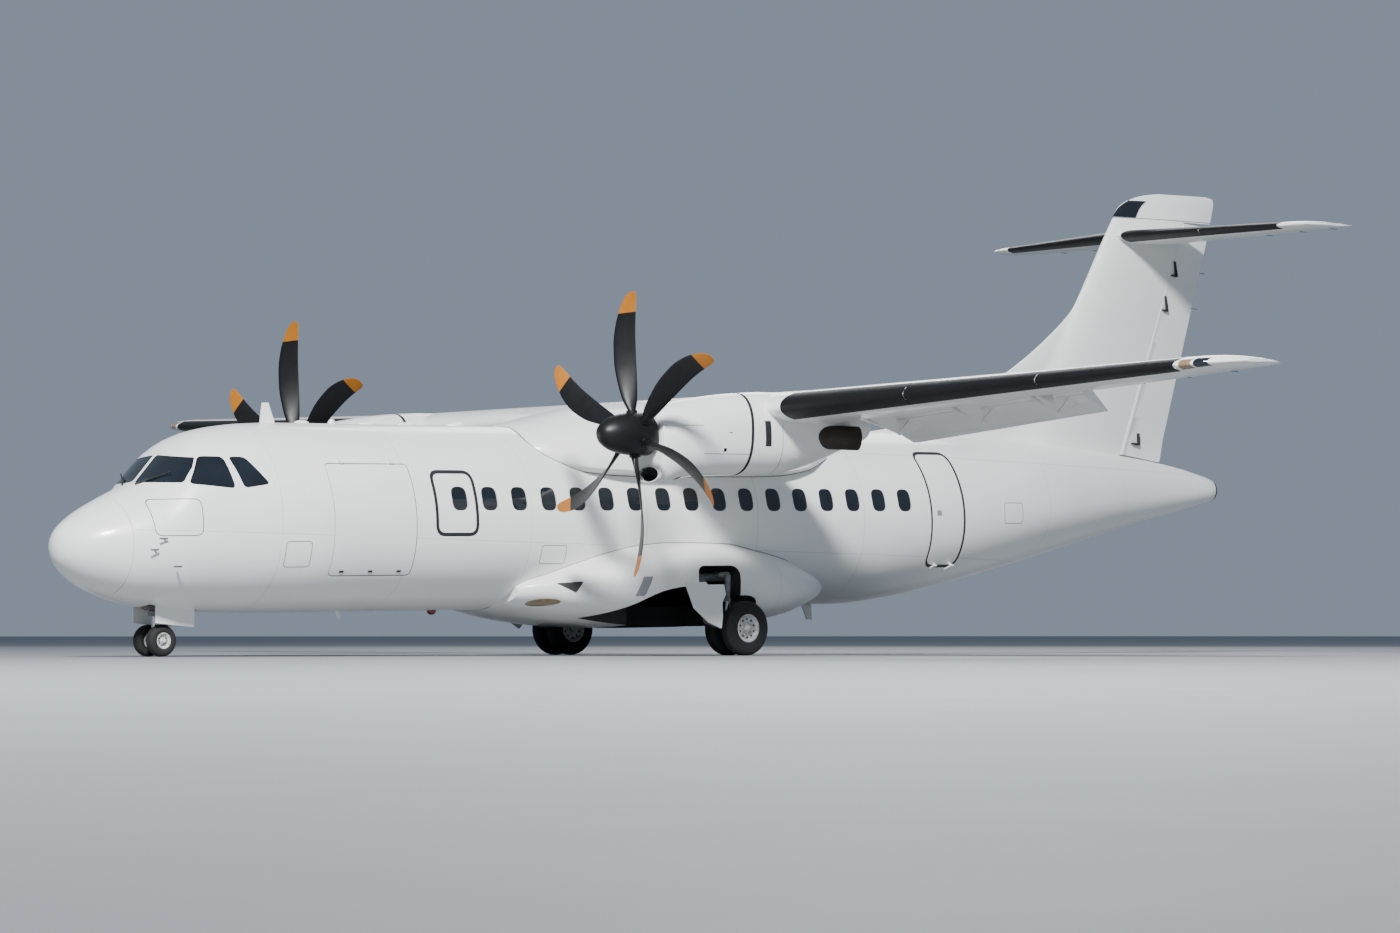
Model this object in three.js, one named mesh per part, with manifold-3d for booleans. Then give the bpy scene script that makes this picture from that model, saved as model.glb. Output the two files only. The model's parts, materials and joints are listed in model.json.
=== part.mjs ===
// A 42-seat, high-wing, T-tailed twin turboprop airliner, standing on its landing gear.
// Stations are in millimetres: x aft of the nose tip, y to starboard, z above the nose tip.
// The whole aircraft is then set on the ground at its parked attitude.
import * as THREE from 'three';
import { mergeVertices } from 'three/addons/utils/BufferGeometryUtils.js';
import Module from 'manifold-3d';

const wasm = await Module();
wasm.setup();

// Driving dimensions
const LENGTH = 22670;
const HALF_SPAN = 12285;
const BARREL_RADIUS = 1432.5;
const BARREL_Z = 310;
const SECTION_JOINTS = [5300, 13300];
const TOUCH = 0.3;
const RUNNING = 7;
const SIDES = { left: -1, right: 1 };
const FAR = 3000; // how far a block that cuts right through the body reaches

// Landing gear, with the shock struts at their parked length
const NOSE_AXLE = { x: 1600, z: -1290 };
const MAIN_AXLE = { x: 10380, y: 2050, z: -1250 };
const NOSE_TYRE = { radius: 225, width: 170, spacing: 320 };
const MAIN_TYRE = { radius: 405, width: 220, spacing: 360 };
const TYRE_SEGMENTS = 18;

// The parked attitude follows from the heights of the axles and the flats of the tyres
const rolling = (radius) => radius * Math.cos(Math.PI / TYRE_SEGMENTS);
const WHEELBASE = MAIN_AXLE.x - NOSE_AXLE.x;
const AXLE_RISE = MAIN_AXLE.z - NOSE_AXLE.z;
const PARKED_PITCH = Math.asin((rolling(MAIN_TYRE.radius) - rolling(NOSE_TYRE.radius))
  / Math.hypot(WHEELBASE, AXLE_RISE)) - Math.atan2(AXLE_RISE, WHEELBASE);

// Engines and propellers
const HUB = { x: 6840, y: 4050, z: 1486 };
const PROPELLER_RADIUS = 1965;
const BLADES = 6;
const FIRST_BLADE_DEG = 5;

// Colours of the real finishes
const finish = (color, roughness, metalness = 0) => ({ color, roughness, metalness });
const WHITE_PAINT = finish(0xf1f1ee, 0.32);
const GLASS = finish(0x10151b, 0.08);
const BLACK_COMPOSITE = finish(0x141416, 0.4);
const BARE_STEEL = finish(0x8b8d8f, 0.35, 1);
const DARK_METAL = finish(0x33332f, 0.55, 0.6);
const GEAR_PAINT = finish(0xb9bcbd, 0.5);
const TYRE_RUBBER = finish(0x19191a, 0.85);

const aircraft = new THREE.Group();

// A closed three.js geometry as a solid
function solid(geometry) {
  const bare = geometry.index ? geometry.clone() : geometry;
  for (const name of ['normal', 'uv']) bare.deleteAttribute(name);
  const merged = mergeVertices(bare, 1e-3);
  return new wasm.Manifold(new wasm.Mesh({
    numProp: 3,
    vertProperties: new Float32Array(merged.attributes.position.array),
    triVerts: new Uint32Array(merged.index.array),
  }));
}

// A solid as a named mesh of the aircraft
function place(name, shape, look) {
  const data = shape.getMesh();
  const geometry = new THREE.BufferGeometry();
  geometry.setAttribute('position', new THREE.BufferAttribute(new Float32Array(data.vertProperties), 3));
  geometry.setIndex(new THREE.BufferAttribute(new Uint32Array(data.triVerts), 1));
  geometry.computeVertexNormals();
  const mesh = new THREE.Mesh(geometry, new THREE.MeshStandardMaterial(look));
  mesh.name = name;
  aircraft.add(mesh);
}

// A skin through rings of equally many points, closed at both ends by a fan
function loft(rings) {
  const count = rings[0].length;
  const position = rings.flat().flatMap((p) => [p[0], p[1], p[2]]);
  const index = [];
  for (let i = 0; i + 1 < rings.length; i += 1) {
    for (let j = 0; j < count; j += 1) {
      const a = i * count + j;
      const b = i * count + ((j + 1) % count);
      index.push(a, b, b + count, a, b + count, a + count);
    }
  }
  for (const [ring, first] of [[0, 0], [rings.length - 1, (rings.length - 1) * count]]) {
    const center = [0, 1, 2].map((k) => rings[ring].reduce((sum, p) => sum + p[k], 0) / count);
    const tip = position.length / 3;
    position.push(...center);
    for (let j = 0; j < count; j += 1) {
      const pair = [first + j, first + ((j + 1) % count)];
      index.push(tip, ...(ring === 0 ? pair.reverse() : pair));
    }
  }
  const corner = (i) => new THREE.Vector3().fromArray(position, index[i] * 3);
  let volume = 0;
  for (let i = 0; i < index.length; i += 3) {
    volume += corner(i).dot(corner(i + 1).cross(corner(i + 2)));
  }
  if (volume < 0) index.reverse();
  return new wasm.Manifold(new wasm.Mesh({
    numProp: 3,
    vertProperties: new Float32Array(position),
    triVerts: new Uint32Array(index),
  }));
}

function box(x0, x1, y0, y1, z0, z1) {
  const geometry = new THREE.BoxGeometry(x1 - x0, y1 - y0, z1 - z0);
  return solid(geometry.translate((x0 + x1) / 2, (y0 + y1) / 2, (z0 + z1) / 2));
}

// A round bar between two points, with its own radius at each end
function rod(from, to, radius, endRadius = radius, sides = 12) {
  const a = new THREE.Vector3(...from);
  const b = new THREE.Vector3(...to);
  const geometry = new THREE.CylinderGeometry(endRadius, radius, a.distanceTo(b), sides);
  const turn = new THREE.Quaternion().setFromUnitVectors(
    new THREE.Vector3(0, 1, 0), b.clone().sub(a).normalize());
  geometry.applyQuaternion(turn).translate(...a.add(b).multiplyScalar(0.5).toArray());
  return solid(geometry);
}

// A flat outline thickened from one plane to the next: axis z takes [x, y] points, x takes [y, z],
// and y takes [x, z]
function slab(outline, axis, from, to) {
  const shape = new THREE.Shape(outline.map(([u, v]) => new THREE.Vector2(u, v)));
  const geometry = new THREE.ExtrudeGeometry(shape, { depth: to - from, bevelEnabled: false });
  geometry.translate(0, 0, axis === 'y' ? -to : from);
  if (axis === 'y') geometry.rotateX(Math.PI / 2);
  if (axis === 'x') geometry.rotateX(Math.PI / 2).rotateZ(Math.PI / 2);
  return solid(geometry);
}

// An outline with its corners rounded by arcs
function rounded(points, radius, steps = 2) {
  const count = points.length;
  return points.flatMap((point, i) => {
    const here = new THREE.Vector2(...point);
    const before = new THREE.Vector2(...points[(i + count - 1) % count]).sub(here);
    const after = new THREE.Vector2(...points[(i + 1) % count]).sub(here);
    const reach = Math.min(radius, before.length() / 2.1, after.length() / 2.1);
    const start = here.clone().add(before.setLength(reach));
    const end = here.clone().add(after.setLength(reach));
    const curve = new THREE.QuadraticBezierCurve(start, here, end);
    return curve.getPoints(steps).map((p) => [p.x, p.y]);
  });
}

// The radius of a hole of so many sides that lets a round bar turn in it
const boreFor = (radius, sides) => (radius + 0.2) / Math.cos(Math.PI / sides);

// A point at a share of the way between two
const between = (a, b, share) => a.map((value, i) => value + (b[i] - value) * share);

const mirrored = (shape) => shape.mirror([0, 1, 0]);
const onSide = (side, shape) => (side === 'left' ? mirrored(shape) : shape);
const joined = (shapes) => shapes.reduce((sum, shape) => sum.add(shape));

// Fuselage: station, crown, keel, half width, height of the widest point, fullness of the section
// above and below it (2 is an ellipse)
const NOSE_TO_TAIL = [
  [0, 15, -15, 18, 0, 2, 2],
  [35, 170, -165, 190, 0, 2, 2],
  [120, 290, -290, 340, 0, 2, 2],
  [260, 400, -420, 490, 5, 2, 2],
  [470, 530, -555, 640, 15, 2, 2],
  [750, 665, -670, 790, 40, 2, 2.05],
  [1000, 775, -750, 900, 70, 2.05, 2.1],
  [1260, 885, -808, 990, 100, 2.15, 2.1],
  [1450, 1075, -840, 1050, 125, 2.3, 2.1],
  [1630, 1262, -862, 1100, 150, 2.4, 2.1],
  [1800, 1400, -878, 1142, 165, 2.4, 2.1],
  [1980, 1510, -890, 1185, 185, 2.35, 2.1],
  [2250, 1610, -902, 1240, 210, 2.25, 2.15],
  [2600, 1678, -914, 1305, 240, 2.15, 2.2],
  [3000, 1718, -922, 1360, 270, 2.05, 2.25],
  [3600, 1740, -930, 1415, 300, 2, 2.3],
  [4300, 1742.5, -930, BARREL_RADIUS, BARREL_Z, 2, 2.3],
  [13900, 1742.5, -930, BARREL_RADIUS, BARREL_Z, 2, 2.3],
  [14800, 1742, -862, 1418, 335, 2, 2.25],
  [15700, 1735, -730, 1366, 375, 2, 2.2],
  [16700, 1712, -545, 1262, 435, 2, 2.1],
  [17900, 1655, -300, 1080, 530, 2, 2],
  [19200, 1560, -15, 830, 640, 2, 2],
  [20500, 1420, 270, 545, 740, 2, 2],
  [21600, 1265, 500, 325, 810, 2, 2],
  [22300, 1120, 640, 205, 850, 2, 2],
  [22560, 1045, 695, 150, 862, 2, 2],
  [LENGTH, 960, 780, 70, 868, 2, 2],
];
const RING_POINTS = 24;
const FAIRING_POINTS = 20;

function bodyRing([x, crown, keel, halfWidth, middle, above, below], inset = 0, count = RING_POINTS) {
  return Array.from({ length: count }, (_, i) => {
    const angle = (2 * Math.PI * i) / count;
    const up = Math.cos(angle);
    const out = Math.sin(angle);
    const power = 2 / (up > 0 ? above : below);
    const reach = (up > 0 ? crown - middle : middle - keel) - inset;
    return [
      x,
      Math.sign(out) * Math.abs(out) ** power * (halfWidth - inset),
      middle + Math.sign(up) * Math.abs(up) ** power * reach,
    ];
  });
}

const hullWithin = (inset, first = 0, last = NOSE_TO_TAIL.length) => (
  loft(NOSE_TO_TAIL.slice(first, last).map((row) => bodyRing(row, inset))));
const hull = hullWithin(0);

// The inner face of the skin, where the cabin and cockpit are open to view
const SKIN = 70;
const SKIN_LAP = 2;
const doorSkin = hull.subtract(hullWithin(SKIN, 6, 22));
const cabin = hullWithin(SKIN - SKIN_LAP, 6, 22);

// Doors: x from and to, z from and to, corner radius, depth of the space behind it
// the hinge line [y, z] with the points of the body and of the door that it is bolted to, and
// the stations of its knuckles
const DOORS = {
  passenger: { x: [14940, 15620], z: [-335, 1370], corner: 130, space: [14860, 15700, -1400, -500],
    hinge: [-1250, -352], body: [-950, -460], leaf: [-1085, -285], knuckles: [15080, 15440] },
  cargo: { x: [3660, 5045], z: [-420, 1130], corner: 70, space: [3560, 5145, -1400, 300],
    hinge: [-1186, 1152], body: [-1100, 1200], leaf: [-1140, 1085], knuckles: [3900, 4760] },
};
const KNUCKLE = { radius: 15, width: 30, pin: 7, sides: 10, strap: 11 };
const DOOR_CUT = [-1600, -700];

// A hinge's knuckle on its line and the strap that holds it, over one stretch of x
function knuckle([hy, hz], [y, z], x0, x1) {
  const along = new THREE.Vector2(y - hy, z - hz).setLength(KNUCKLE.strap);
  const strap = slab([[hy - along.y, hz + along.x], [hy + along.y, hz - along.x],
    [y + along.y, z - along.x], [y - along.y, z + along.x]], 'x', x0, x1);
  return strap.add(rod([x0, hy, hz], [x1, hy, hz], KNUCKLE.radius, KNUCKLE.radius, KNUCKLE.sides));
}
const DOOR_GAP = 7;

function doorPrism({ x, z, corner }, grow) {
  const outline = rounded([
    [x[0] - grow, z[0] - grow], [x[1] + grow, z[0] - grow],
    [x[1] + grow, z[1] + grow], [x[0] - grow, z[1] + grow],
  ], corner + grow);
  return slab(outline, 'y', ...DOOR_CUT);
}

let fuselage = hull;
for (const [name, door] of Object.entries(DOORS)) {
  const [x0, x1, y0, y1] = door.space;
  const space = box(x0, x1, y0, y1, door.z[0], door.z[1]).intersect(cabin);
  fuselage = fuselage.subtract(doorPrism(door, DOOR_GAP)).subtract(space);
  let leaf = doorPrism(door, 0).intersect(doorSkin);
  for (const x of door.knuckles) {
    const [from, to] = [x + KNUCKLE.width + TOUCH, x + 2 * KNUCKLE.width + TOUCH];
    const pin = (radius) => rod([x - 1, ...door.hinge], [to - 1, ...door.hinge], radius, radius,
      KNUCKLE.sides);
    fuselage = fuselage.add(knuckle(door.hinge, door.body, x, x + KNUCKLE.width))
      .subtract(pin(boreFor(KNUCKLE.pin, KNUCKLE.sides)));
    leaf = leaf.add(knuckle(door.hinge, door.leaf, from, to)).add(pin(KNUCKLE.pin));
  }
  place(`${name}_door`, leaf, WHITE_PAINT);
}

// Rear cabin, from the joint of the centre section to the rear bulkhead, open at the passenger door;
// ahead of the door its floor panels lie one step above the sill
const REAR_CABIN = { back: 17300, half: 1050, step: 15 };
const [SILL, CEILING] = DOORS.passenger.z;
const DOORWAY = DOORS.passenger.space[0];
const cabinRoom = (from, to, floor) => box(from, to, -REAR_CABIN.half, REAR_CABIN.half, floor, CEILING)
  .intersect(cabin);
fuselage = fuselage.subtract(cabinRoom(SECTION_JOINTS[1], DOORWAY, SILL + REAR_CABIN.step))
  .subtract(cabinRoom(DOORWAY, REAR_CABIN.back, SILL));

// Cockpit: a space behind the windows, open to the cabin side only by its panes
const COCKPIT = { front: 1440, back: 2760, floor: 350, half: 1200, roof: 1600 };
const cockpitSpace = box(COCKPIT.front, COCKPIT.back, -COCKPIT.half, COCKPIT.half,
  COCKPIT.floor, COCKPIT.roof).intersect(cabin);
fuselage = fuselage.subtract(cockpitSpace);

// Window outlines: the windscreen in [y, z], the side panes in [x, z]
const WINDSCREEN = rounded([[45, 895], [835, 870], [760, 1205], [45, 1262]], 45);
const SIDE_PANES = {
  side_window: rounded([[1600, 855], [2180, 790], [2130, 1215], [1845, 1222]], 60),
  rear_window: rounded([[2325, 800], [2700, 850], [2440, 1210], [2225, 1215]], 60),
};
const PANE = { thick: 22, front: 1000, back: 1850, inner: 620, outer: 1400 };
const paneShell = hull.subtract(hullWithin(PANE.thick, 5, 17));

function grown(outline, by) {
  const middle = new THREE.Vector2();
  for (const [u, v] of outline) middle.add(new THREE.Vector2(u, v).divideScalar(outline.length));
  return outline.map(([u, v]) => {
    const spoke = new THREE.Vector2(u, v).sub(middle);
    return spoke.setLength(spoke.length() + by).add(middle).toArray();
  });
}

// The windscreen ends at the post ahead of the side window
const POST = [[1000, 700], [1451, 700], [1919, 1400], [1000, 1400]];
const panePrisms = {
  windscreen: (by) => slab(grown(WINDSCREEN, by), 'x', PANE.front, PANE.back).intersect(
    slab(grown(POST, by), 'y', 0, PANE.outer)),
  side_window: (by) => slab(grown(SIDE_PANES.side_window, by), 'y', PANE.inner, PANE.outer),
  rear_window: (by) => slab(grown(SIDE_PANES.rear_window, by), 'y', PANE.inner, PANE.outer),
};
for (const side of Object.keys(SIDES)) {
  for (const [name, prism] of Object.entries(panePrisms)) {
    fuselage = fuselage.subtract(onSide(side, prism(TOUCH)));
    place(`${name}_${side}`, onSide(side, prism(0)).intersect(paneShell), GLASS);
  }
}

// Radome: the nose cap ahead of its seam
const RADOME_SEAM = 760;
const ahead = (x) => box(-FAR, x, -FAR, FAR, -FAR, FAR);
place('radome', hull.intersect(ahead(RADOME_SEAM)), WHITE_PAINT);
fuselage = fuselage.subtract(ahead(RADOME_SEAM + TOUCH));

// Nose gear bay, open below
const NOSE_BAY = { x: [1330, 2110], half: 290, roof: -330 };
fuselage = fuselage.subtract(
  box(...NOSE_BAY.x, -NOSE_BAY.half, NOSE_BAY.half, -FAR, NOSE_BAY.roof));

// Gear fairing under the belly with a sponson on each side: station, top, bottom, half width,
// height of the widest point, fullness above and below
const FAIRING = [
  [7050, -480, -900, 1130, -640, 2, 2.4],
  [7400, -330, -985, 1400, -600, 2, 2.6],
  [7900, -150, -1085, 1660, -580, 2.1, 2.8],
  [8500, 20, -1165, 1880, -560, 2.2, 3],
  [9100, 130, -1215, 2000, -560, 2.3, 3.2],
  [9700, 150, -1235, 2050, -560, 2.4, 3.2],
  [10700, 130, -1235, 2050, -570, 2.4, 3.2],
  [11300, 30, -1215, 1980, -580, 2.3, 3],
  [11900, -100, -1150, 1840, -590, 2.2, 2.8],
  [12350, -260, -1050, 1600, -600, 2, 2.6],
  [12700, -380, -950, 1330, -640, 2, 2.4],
];
const hullGrown = hullWithin(-TOUCH, 14, 21);
let gearFairing = loft(FAIRING.map((row) => bodyRing(row, 0, FAIRING_POINTS))).subtract(hullGrown);

// Main wheel wells, open below, the slot in each side through which the leg swings, and the arch
// over the parked wheels
const WELL = { x: [9080, 10980], y: [180, 1500], roof: -560 };
const LEG_SLOT = { x: [9680, 10480], y: [1400, 2300], roof: -330 };
const ARCH = { x: [9900, 10860], y: [1450, 2450], roof: -770 };
for (const side of Object.keys(SIDES)) {
  const well = onSide(side, box(...WELL.x, ...WELL.y, -FAR, WELL.roof));
  const slot = onSide(side, box(...LEG_SLOT.x, ...LEG_SLOT.y, -FAR, LEG_SLOT.roof));
  fuselage = fuselage.subtract(well);
  const arch = onSide(side, box(...ARCH.x, ...ARCH.y, -FAR, ARCH.roof));
  gearFairing = gearFairing.subtract(well).subtract(slot).subtract(arch);
}
place('gear_fairing', gearFairing, WHITE_PAINT);

// Wing: span station, leading edge, chord, height of the chord line, thickness to chord, incidence
const WING = [
  [0, 8930, 2570, 1850, 0.18, 2],
  [4780, 8930, 2570, 1850, 0.18, 2],
  [11650, 9735, 1480, 2165, 0.135, 0],
];
const AIRFOIL_POINTS = 10;

// Half thickness of a wing section as a share of its greatest, at a share of its chord
function thicknessAt(share) {
  const t = 2.969 * Math.sqrt(share) - 1.26 * share - 3.516 * share ** 2 + 2.843 * share ** 3;
  return (t - 1.036 * share ** 4) / 2 + 0.012 * share;
}

const CAMBER = 0.02;

// Points of a wing section around its chord, from the trailing edge over the top and back below
function section(chord, ratio, camber = CAMBER, grow = 0) {
  const shares = Array.from({ length: AIRFOIL_POINTS + 1 }, (_, i) => (
    (1 - Math.cos((Math.PI * i) / AIRFOIL_POINTS)) / 2));
  const point = (share, sign) => [
    share * chord + (2 * share - 1) * grow,
    (camber * 4 * share * (1 - share) + sign * ratio * thicknessAt(share)) * chord + sign * grow,
  ];
  const top = shares.map((share) => point(share, 1)).reverse();
  const under = shares.slice(grow > 0 ? 0 : 1).map((share) => point(share, -1));
  return [...top, ...under];
}

function wingRing([span, front, chord, height, ratio, incidence], grow = 0) {
  const tilt = THREE.MathUtils.degToRad(incidence);
  return section(chord, ratio, CAMBER, grow).map(([u, v]) => [
    front + u * Math.cos(tilt) + v * Math.sin(tilt),
    span,
    height + v * Math.cos(tilt) - (u - chord / 4) * Math.sin(tilt),
  ]);
}

// Values of the wing's table at any span station
function wingAt(span) {
  const next = Math.max(1, WING.findIndex((row) => row[0] >= span));
  const [a, b] = [WING[next - 1], WING[next]];
  const share = (span - a[0]) / (b[0] - a[0]);
  return a.map((value, i) => value + (b[i] - value) * share);
}

// A point inside the wing's section, at a share of the chord
function wingPoint(span, share, drop = 0) {
  const [, front, chord, height, , incidence] = wingAt(span);
  const tilt = THREE.MathUtils.degToRad(incidence);
  const u = share * chord;
  return [
    front + u * Math.cos(tilt) - drop * Math.sin(tilt),
    span,
    height + CAMBER * 4 * share * (1 - share) * chord - drop * Math.cos(tilt)
      - (u - chord / 4) * Math.sin(tilt),
  ];
}

const halfWing = loft(WING.map((row) => wingRing(row)));
const halfThickness = (span, share) => {
  const [, , chord, , ratio] = wingAt(span);
  return ratio * thicknessAt(share) * chord;
};

// A block behind a slanting line across the span, from one station to the next
function behind(from, to, y0, y1, reach = 3000, depth = 900) {
  const slope = (to[0] - from[0]) / (to[1] - from[1]);
  const at = (y) => from[0] + slope * (y - from[1]);
  const middle = (from[2] + to[2]) / 2;
  return slab([[at(y0), y0], [at(y0) + reach, y0], [at(y1) + reach, y1], [at(y1), y1]],
    'z', middle - depth, middle + depth);
}

// Aileron: outer trailing edge, hinged at its rounded nose
const AILERON = { y: [8800, 11560], share: 0.74, heel: 20 };
const FLAPS = {
  inboard: { y: [1480, 3480], share: 0.7, lip: 0.8 },
  outboard: { y: [4640, 8720], share: 0.7, lip: 0.8 },
};
const FLAP_HINGE_DROP = 350;
const SHROUD = { lap: 5, depth: 0.42, lip: 6, above: 300 };
const FLAP_REST_DEG = 30;
const FLAP_SWEEP_STEP = 3;
let wing = halfWing;

const hingeY = [AILERON.y[0] - 40, AILERON.y[1] + 40];
const aileronHinge = hingeY.map((y) => wingPoint(y, AILERON.share));
const aileronRadii = hingeY.map((y) => halfThickness(y, AILERON.share) * 0.96);
const aileronNose = (gap) => rod(...aileronHinge, aileronRadii[0] + gap, aileronRadii[1] + gap, 18);
const aileronBlock = (ahead, gap) => behind(...aileronHinge.map(([x, ...rest]) => [x - ahead, ...rest]),
  AILERON.y[0] + gap, AILERON.y[1] - gap);
const HINGE_PIN = 10;
const PIN_SIDES = 12;
const aileronPin = (radius, reach) => rod(between(...aileronHinge, 0.95),
  between(...aileronHinge, reach), radius, radius, PIN_SIDES);
const aileron = wing.intersect(aileronBlock(-AILERON.heel, RUNNING)).add(
  aileronNose(0).intersect(aileronBlock(400, RUNNING))).add(aileronPin(HINGE_PIN, 0.998));
wing = wing.subtract(aileronBlock(RUNNING, 0))
  .subtract(aileronNose(RUNNING).intersect(aileronBlock(400, 0)))
  .subtract(aileronPin(boreFor(HINGE_PIN, PIN_SIDES), 1));

const flapShapes = {};
const flapHinges = {};
for (const [name, { y, share, lip }] of Object.entries(FLAPS)) {
  const nose = y.map((span) => wingPoint(span, share + 0.035));
  const radii = y.map((span) => halfThickness(span, share + 0.035) * 0.9);
  const front = y.map((span) => wingPoint(span, share));
  // The shroud over the flap's nose thins from the spar to its lip
  const shroudCut = (extra) => y.map((span, i) => {
    const top = (s) => {
      const p = wingPoint(span, s, -halfThickness(span, s));
      return [p[0], p[2]];
    };
    const [fx, fz] = top(share);
    const [lx, lz] = top(lip);
    const root = [fx - SHROUD.lap, fz - SHROUD.depth * halfThickness(span, share) - extra];
    return [[root[0], span, root[1]], [lx + extra, span, lz - SHROUD.lip - extra],
      [lx + extra, span, lz + SHROUD.above], [root[0], span, fz + SHROUD.above]];
  });
  const wedge = (extra) => loft(shroudCut(extra));
  const bay = (gap) => behind(...front.map(([x, ...rest]) => [x + gap, ...rest]), y[0] + gap, y[1] - gap);
  const shroud = wing.intersect(wedge(0));
  const body = wing.intersect(behind(...nose, y[0] + RUNNING, y[1] - RUNNING));
  const noseBar = rod(nose[0], nose[1], radii[0], radii[1], 20).intersect(bay(RUNNING));
  wing = wing.subtract(bay(0)).add(shroud);
  flapHinges[name] = nose.map(([x, span, z]) => [x, span, z - FLAP_HINGE_DROP]);
  // The top of the nose is cut back to pass under the shroud all the way down
  let blank = body.add(noseBar);
  for (let degrees = 0; degrees < FLAP_REST_DEG; degrees += FLAP_SWEEP_STEP) {
    blank = blank.subtract(turned(wedge(RUNNING), flapHinges[name], -degrees));
  }
  flapShapes[name] = blank;
}

// A solid turned about a hinge line through two points, by degrees that lower its trailing edge
function turned(shape, [from, to], degrees) {
  const start = new THREE.Vector3(...from);
  const axis = new THREE.Vector3(...to).sub(start).normalize();
  const matrix = new THREE.Matrix4().makeTranslation(start)
    .multiply(new THREE.Matrix4().makeRotationAxis(axis, THREE.MathUtils.degToRad(degrees)))
    .multiply(new THREE.Matrix4().makeTranslation(start.negate()));
  return shape.transform(matrix.elements);
}

// Flap hinges: a V-shaped bracket under the wing and an arm on the flap beside it
const FLAP_STATIONS = { inboard: [1800, 3150], outboard: [5150, 6850, 8350] };
const BRACKET = { width: 44, arm: 34, eye: 42, pin: 12, sides: 12, root: 0.42, buried: 30 };
for (const [name, stations] of Object.entries(FLAP_STATIONS)) {
  const { share } = FLAPS[name];
  for (const span of stations) {
    const below = (s) => {
      const p = wingPoint(span, s, halfThickness(span, s) - BRACKET.buried);
      return [p[0], p[2]];
    };
    const [from, to] = flapHinges[name];
    const hingeAt = (y) => between(from, to, (y - from[1]) / (to[1] - from[1]));
    const [hx, , hz] = hingeAt(span);
    const eye = BRACKET.eye;
    wing = wing.add(slab([below(BRACKET.root), [hx - eye, hz - 0.3 * eye], [hx, hz - eye], [hx + eye, hz],
      [hx, hz + eye], below(share - 0.01)], 'y', span, span + BRACKET.width));
    const armFrom = span + BRACKET.width + RUNNING;
    const armTo = armFrom + BRACKET.arm;
    wing = wing.add(rod(hingeAt(span), hingeAt(armTo), BRACKET.pin, BRACKET.pin, BRACKET.sides));
    const eyeBore = boreFor(BRACKET.pin, BRACKET.sides);
    flapShapes[name] = flapShapes[name].add(slab([[hx - eye, hz], [hx, hz - eye], [hx + eye, hz],
      below(share + 0.16), below(share + 0.05)], 'y', armFrom, armTo)).subtract(rod(
      hingeAt(span), hingeAt(armTo + BRACKET.eye), eyeBore, eyeBore, BRACKET.sides));
  }
}

// The centre wing ends outboard of the nacelles, where the outer wings are bolted on
const WING_JOINT = 4560;
const spanBlock = (y0, y1) => box(5000, 15000, y0, y1, -500, 5000);
const wingCentre = wing.intersect(spanBlock(0, WING_JOINT)).add(
  mirrored(wing.intersect(spanBlock(0, WING_JOINT))));
place('wing_center', wingCentre, WHITE_PAINT);
const WING_TIP = [
  [11650 + TOUCH, 9735, 1480, 2165, 0.135, 0],
  [11900, 9790, 1430, 2180, 0.125, 0],
  [12100, 9940, 1250, 2195, 0.11, 0],
  [12225, 10160, 960, 2205, 0.09, 0],
  [HALF_SPAN, 10400, 600, 2212, 0.07, 0],
];
const wingTip = loft(WING_TIP.map((row) => wingRing(row)));
for (const side of Object.keys(SIDES)) {
  place(`wing_outer_${side}`, onSide(side, wing.intersect(spanBlock(WING_JOINT + TOUCH, 13000))),
    WHITE_PAINT);
  place(`wing_tip_${side}`, onSide(side, wingTip), WHITE_PAINT);
  place(`aileron_${side}`, onSide(side, aileron), WHITE_PAINT);
  for (const name of Object.keys(FLAPS)) {
    const lowered = turned(flapShapes[name], flapHinges[name], FLAP_REST_DEG);
    place(`flap_${name}_${side}`, onSide(side, lowered), WHITE_PAINT);
  }
}

const wingGrown = loft(WING.slice(0, 2).map((row) => wingRing(row, TOUCH)));
const wingBothGrown = wingGrown.add(mirrored(wingGrown));
fuselage = fuselage.subtract(wingBothGrown);

// Fairing between wing and fuselage
const SADDLE = [
  [7450, 1660, 1100, 820, 1380, 2, 2],
  [7800, 1800, 1000, 1130, 1250, 2, 2],
  [8250, 1900, 950, 1370, 1120, 2.2, 2],
  [8800, 2010, 930, 1480, 1080, 2.4, 2],
  [9400, 2095, 920, 1520, 1070, 2.5, 2],
  [10200, 2112, 920, 1510, 1070, 2.5, 2],
  [10700, 2105, 920, 1464, 1070, 2.5, 2],
  [11300, 2060, 925, 1464, 1070, 2.4, 2],
  [11900, 1970, 940, 1435, 1080, 2.3, 2],
  [12500, 1840, 1000, 1325, 1150, 2.1, 2],
  [13050, 1700, 1150, 1080, 1300, 2, 2],
];
const saddle = loft(SADDLE.map((row) => bodyRing(row, 0, FAIRING_POINTS))).subtract(hullGrown)
  .subtract(wingBothGrown);
place('wing_fairing', saddle, WHITE_PAINT);

// Fin with its long dorsal fillet, seen from the side: height, front edge of the fillet,
// line of the leading edge, trailing edge, greatest half thickness
const FIN = [
  [1150, 14300, 17780, 21270, 170],
  [1690, 14600, 18110, 21445, 166],
  [1870, 15670, 18220, 21505, 164],
  [2080, 16330, 18350, 21575, 162],
  [2310, 16930, 18490, 21650, 160],
  [2630, 17670, 18690, 21755, 157],
  [2950, 18250, 18890, 21865, 154],
  [3300, 18780, 19105, 21980, 151],
  [3800, 19390, 19415, 22145, 147],
  [4110, 19609, 19610, 22250, 144],
  [5320, 20359, 20360, 22650, 132],
];
const FIN_POINTS = 11;
const FILLET = { half: 46, rise: 420 };

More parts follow.
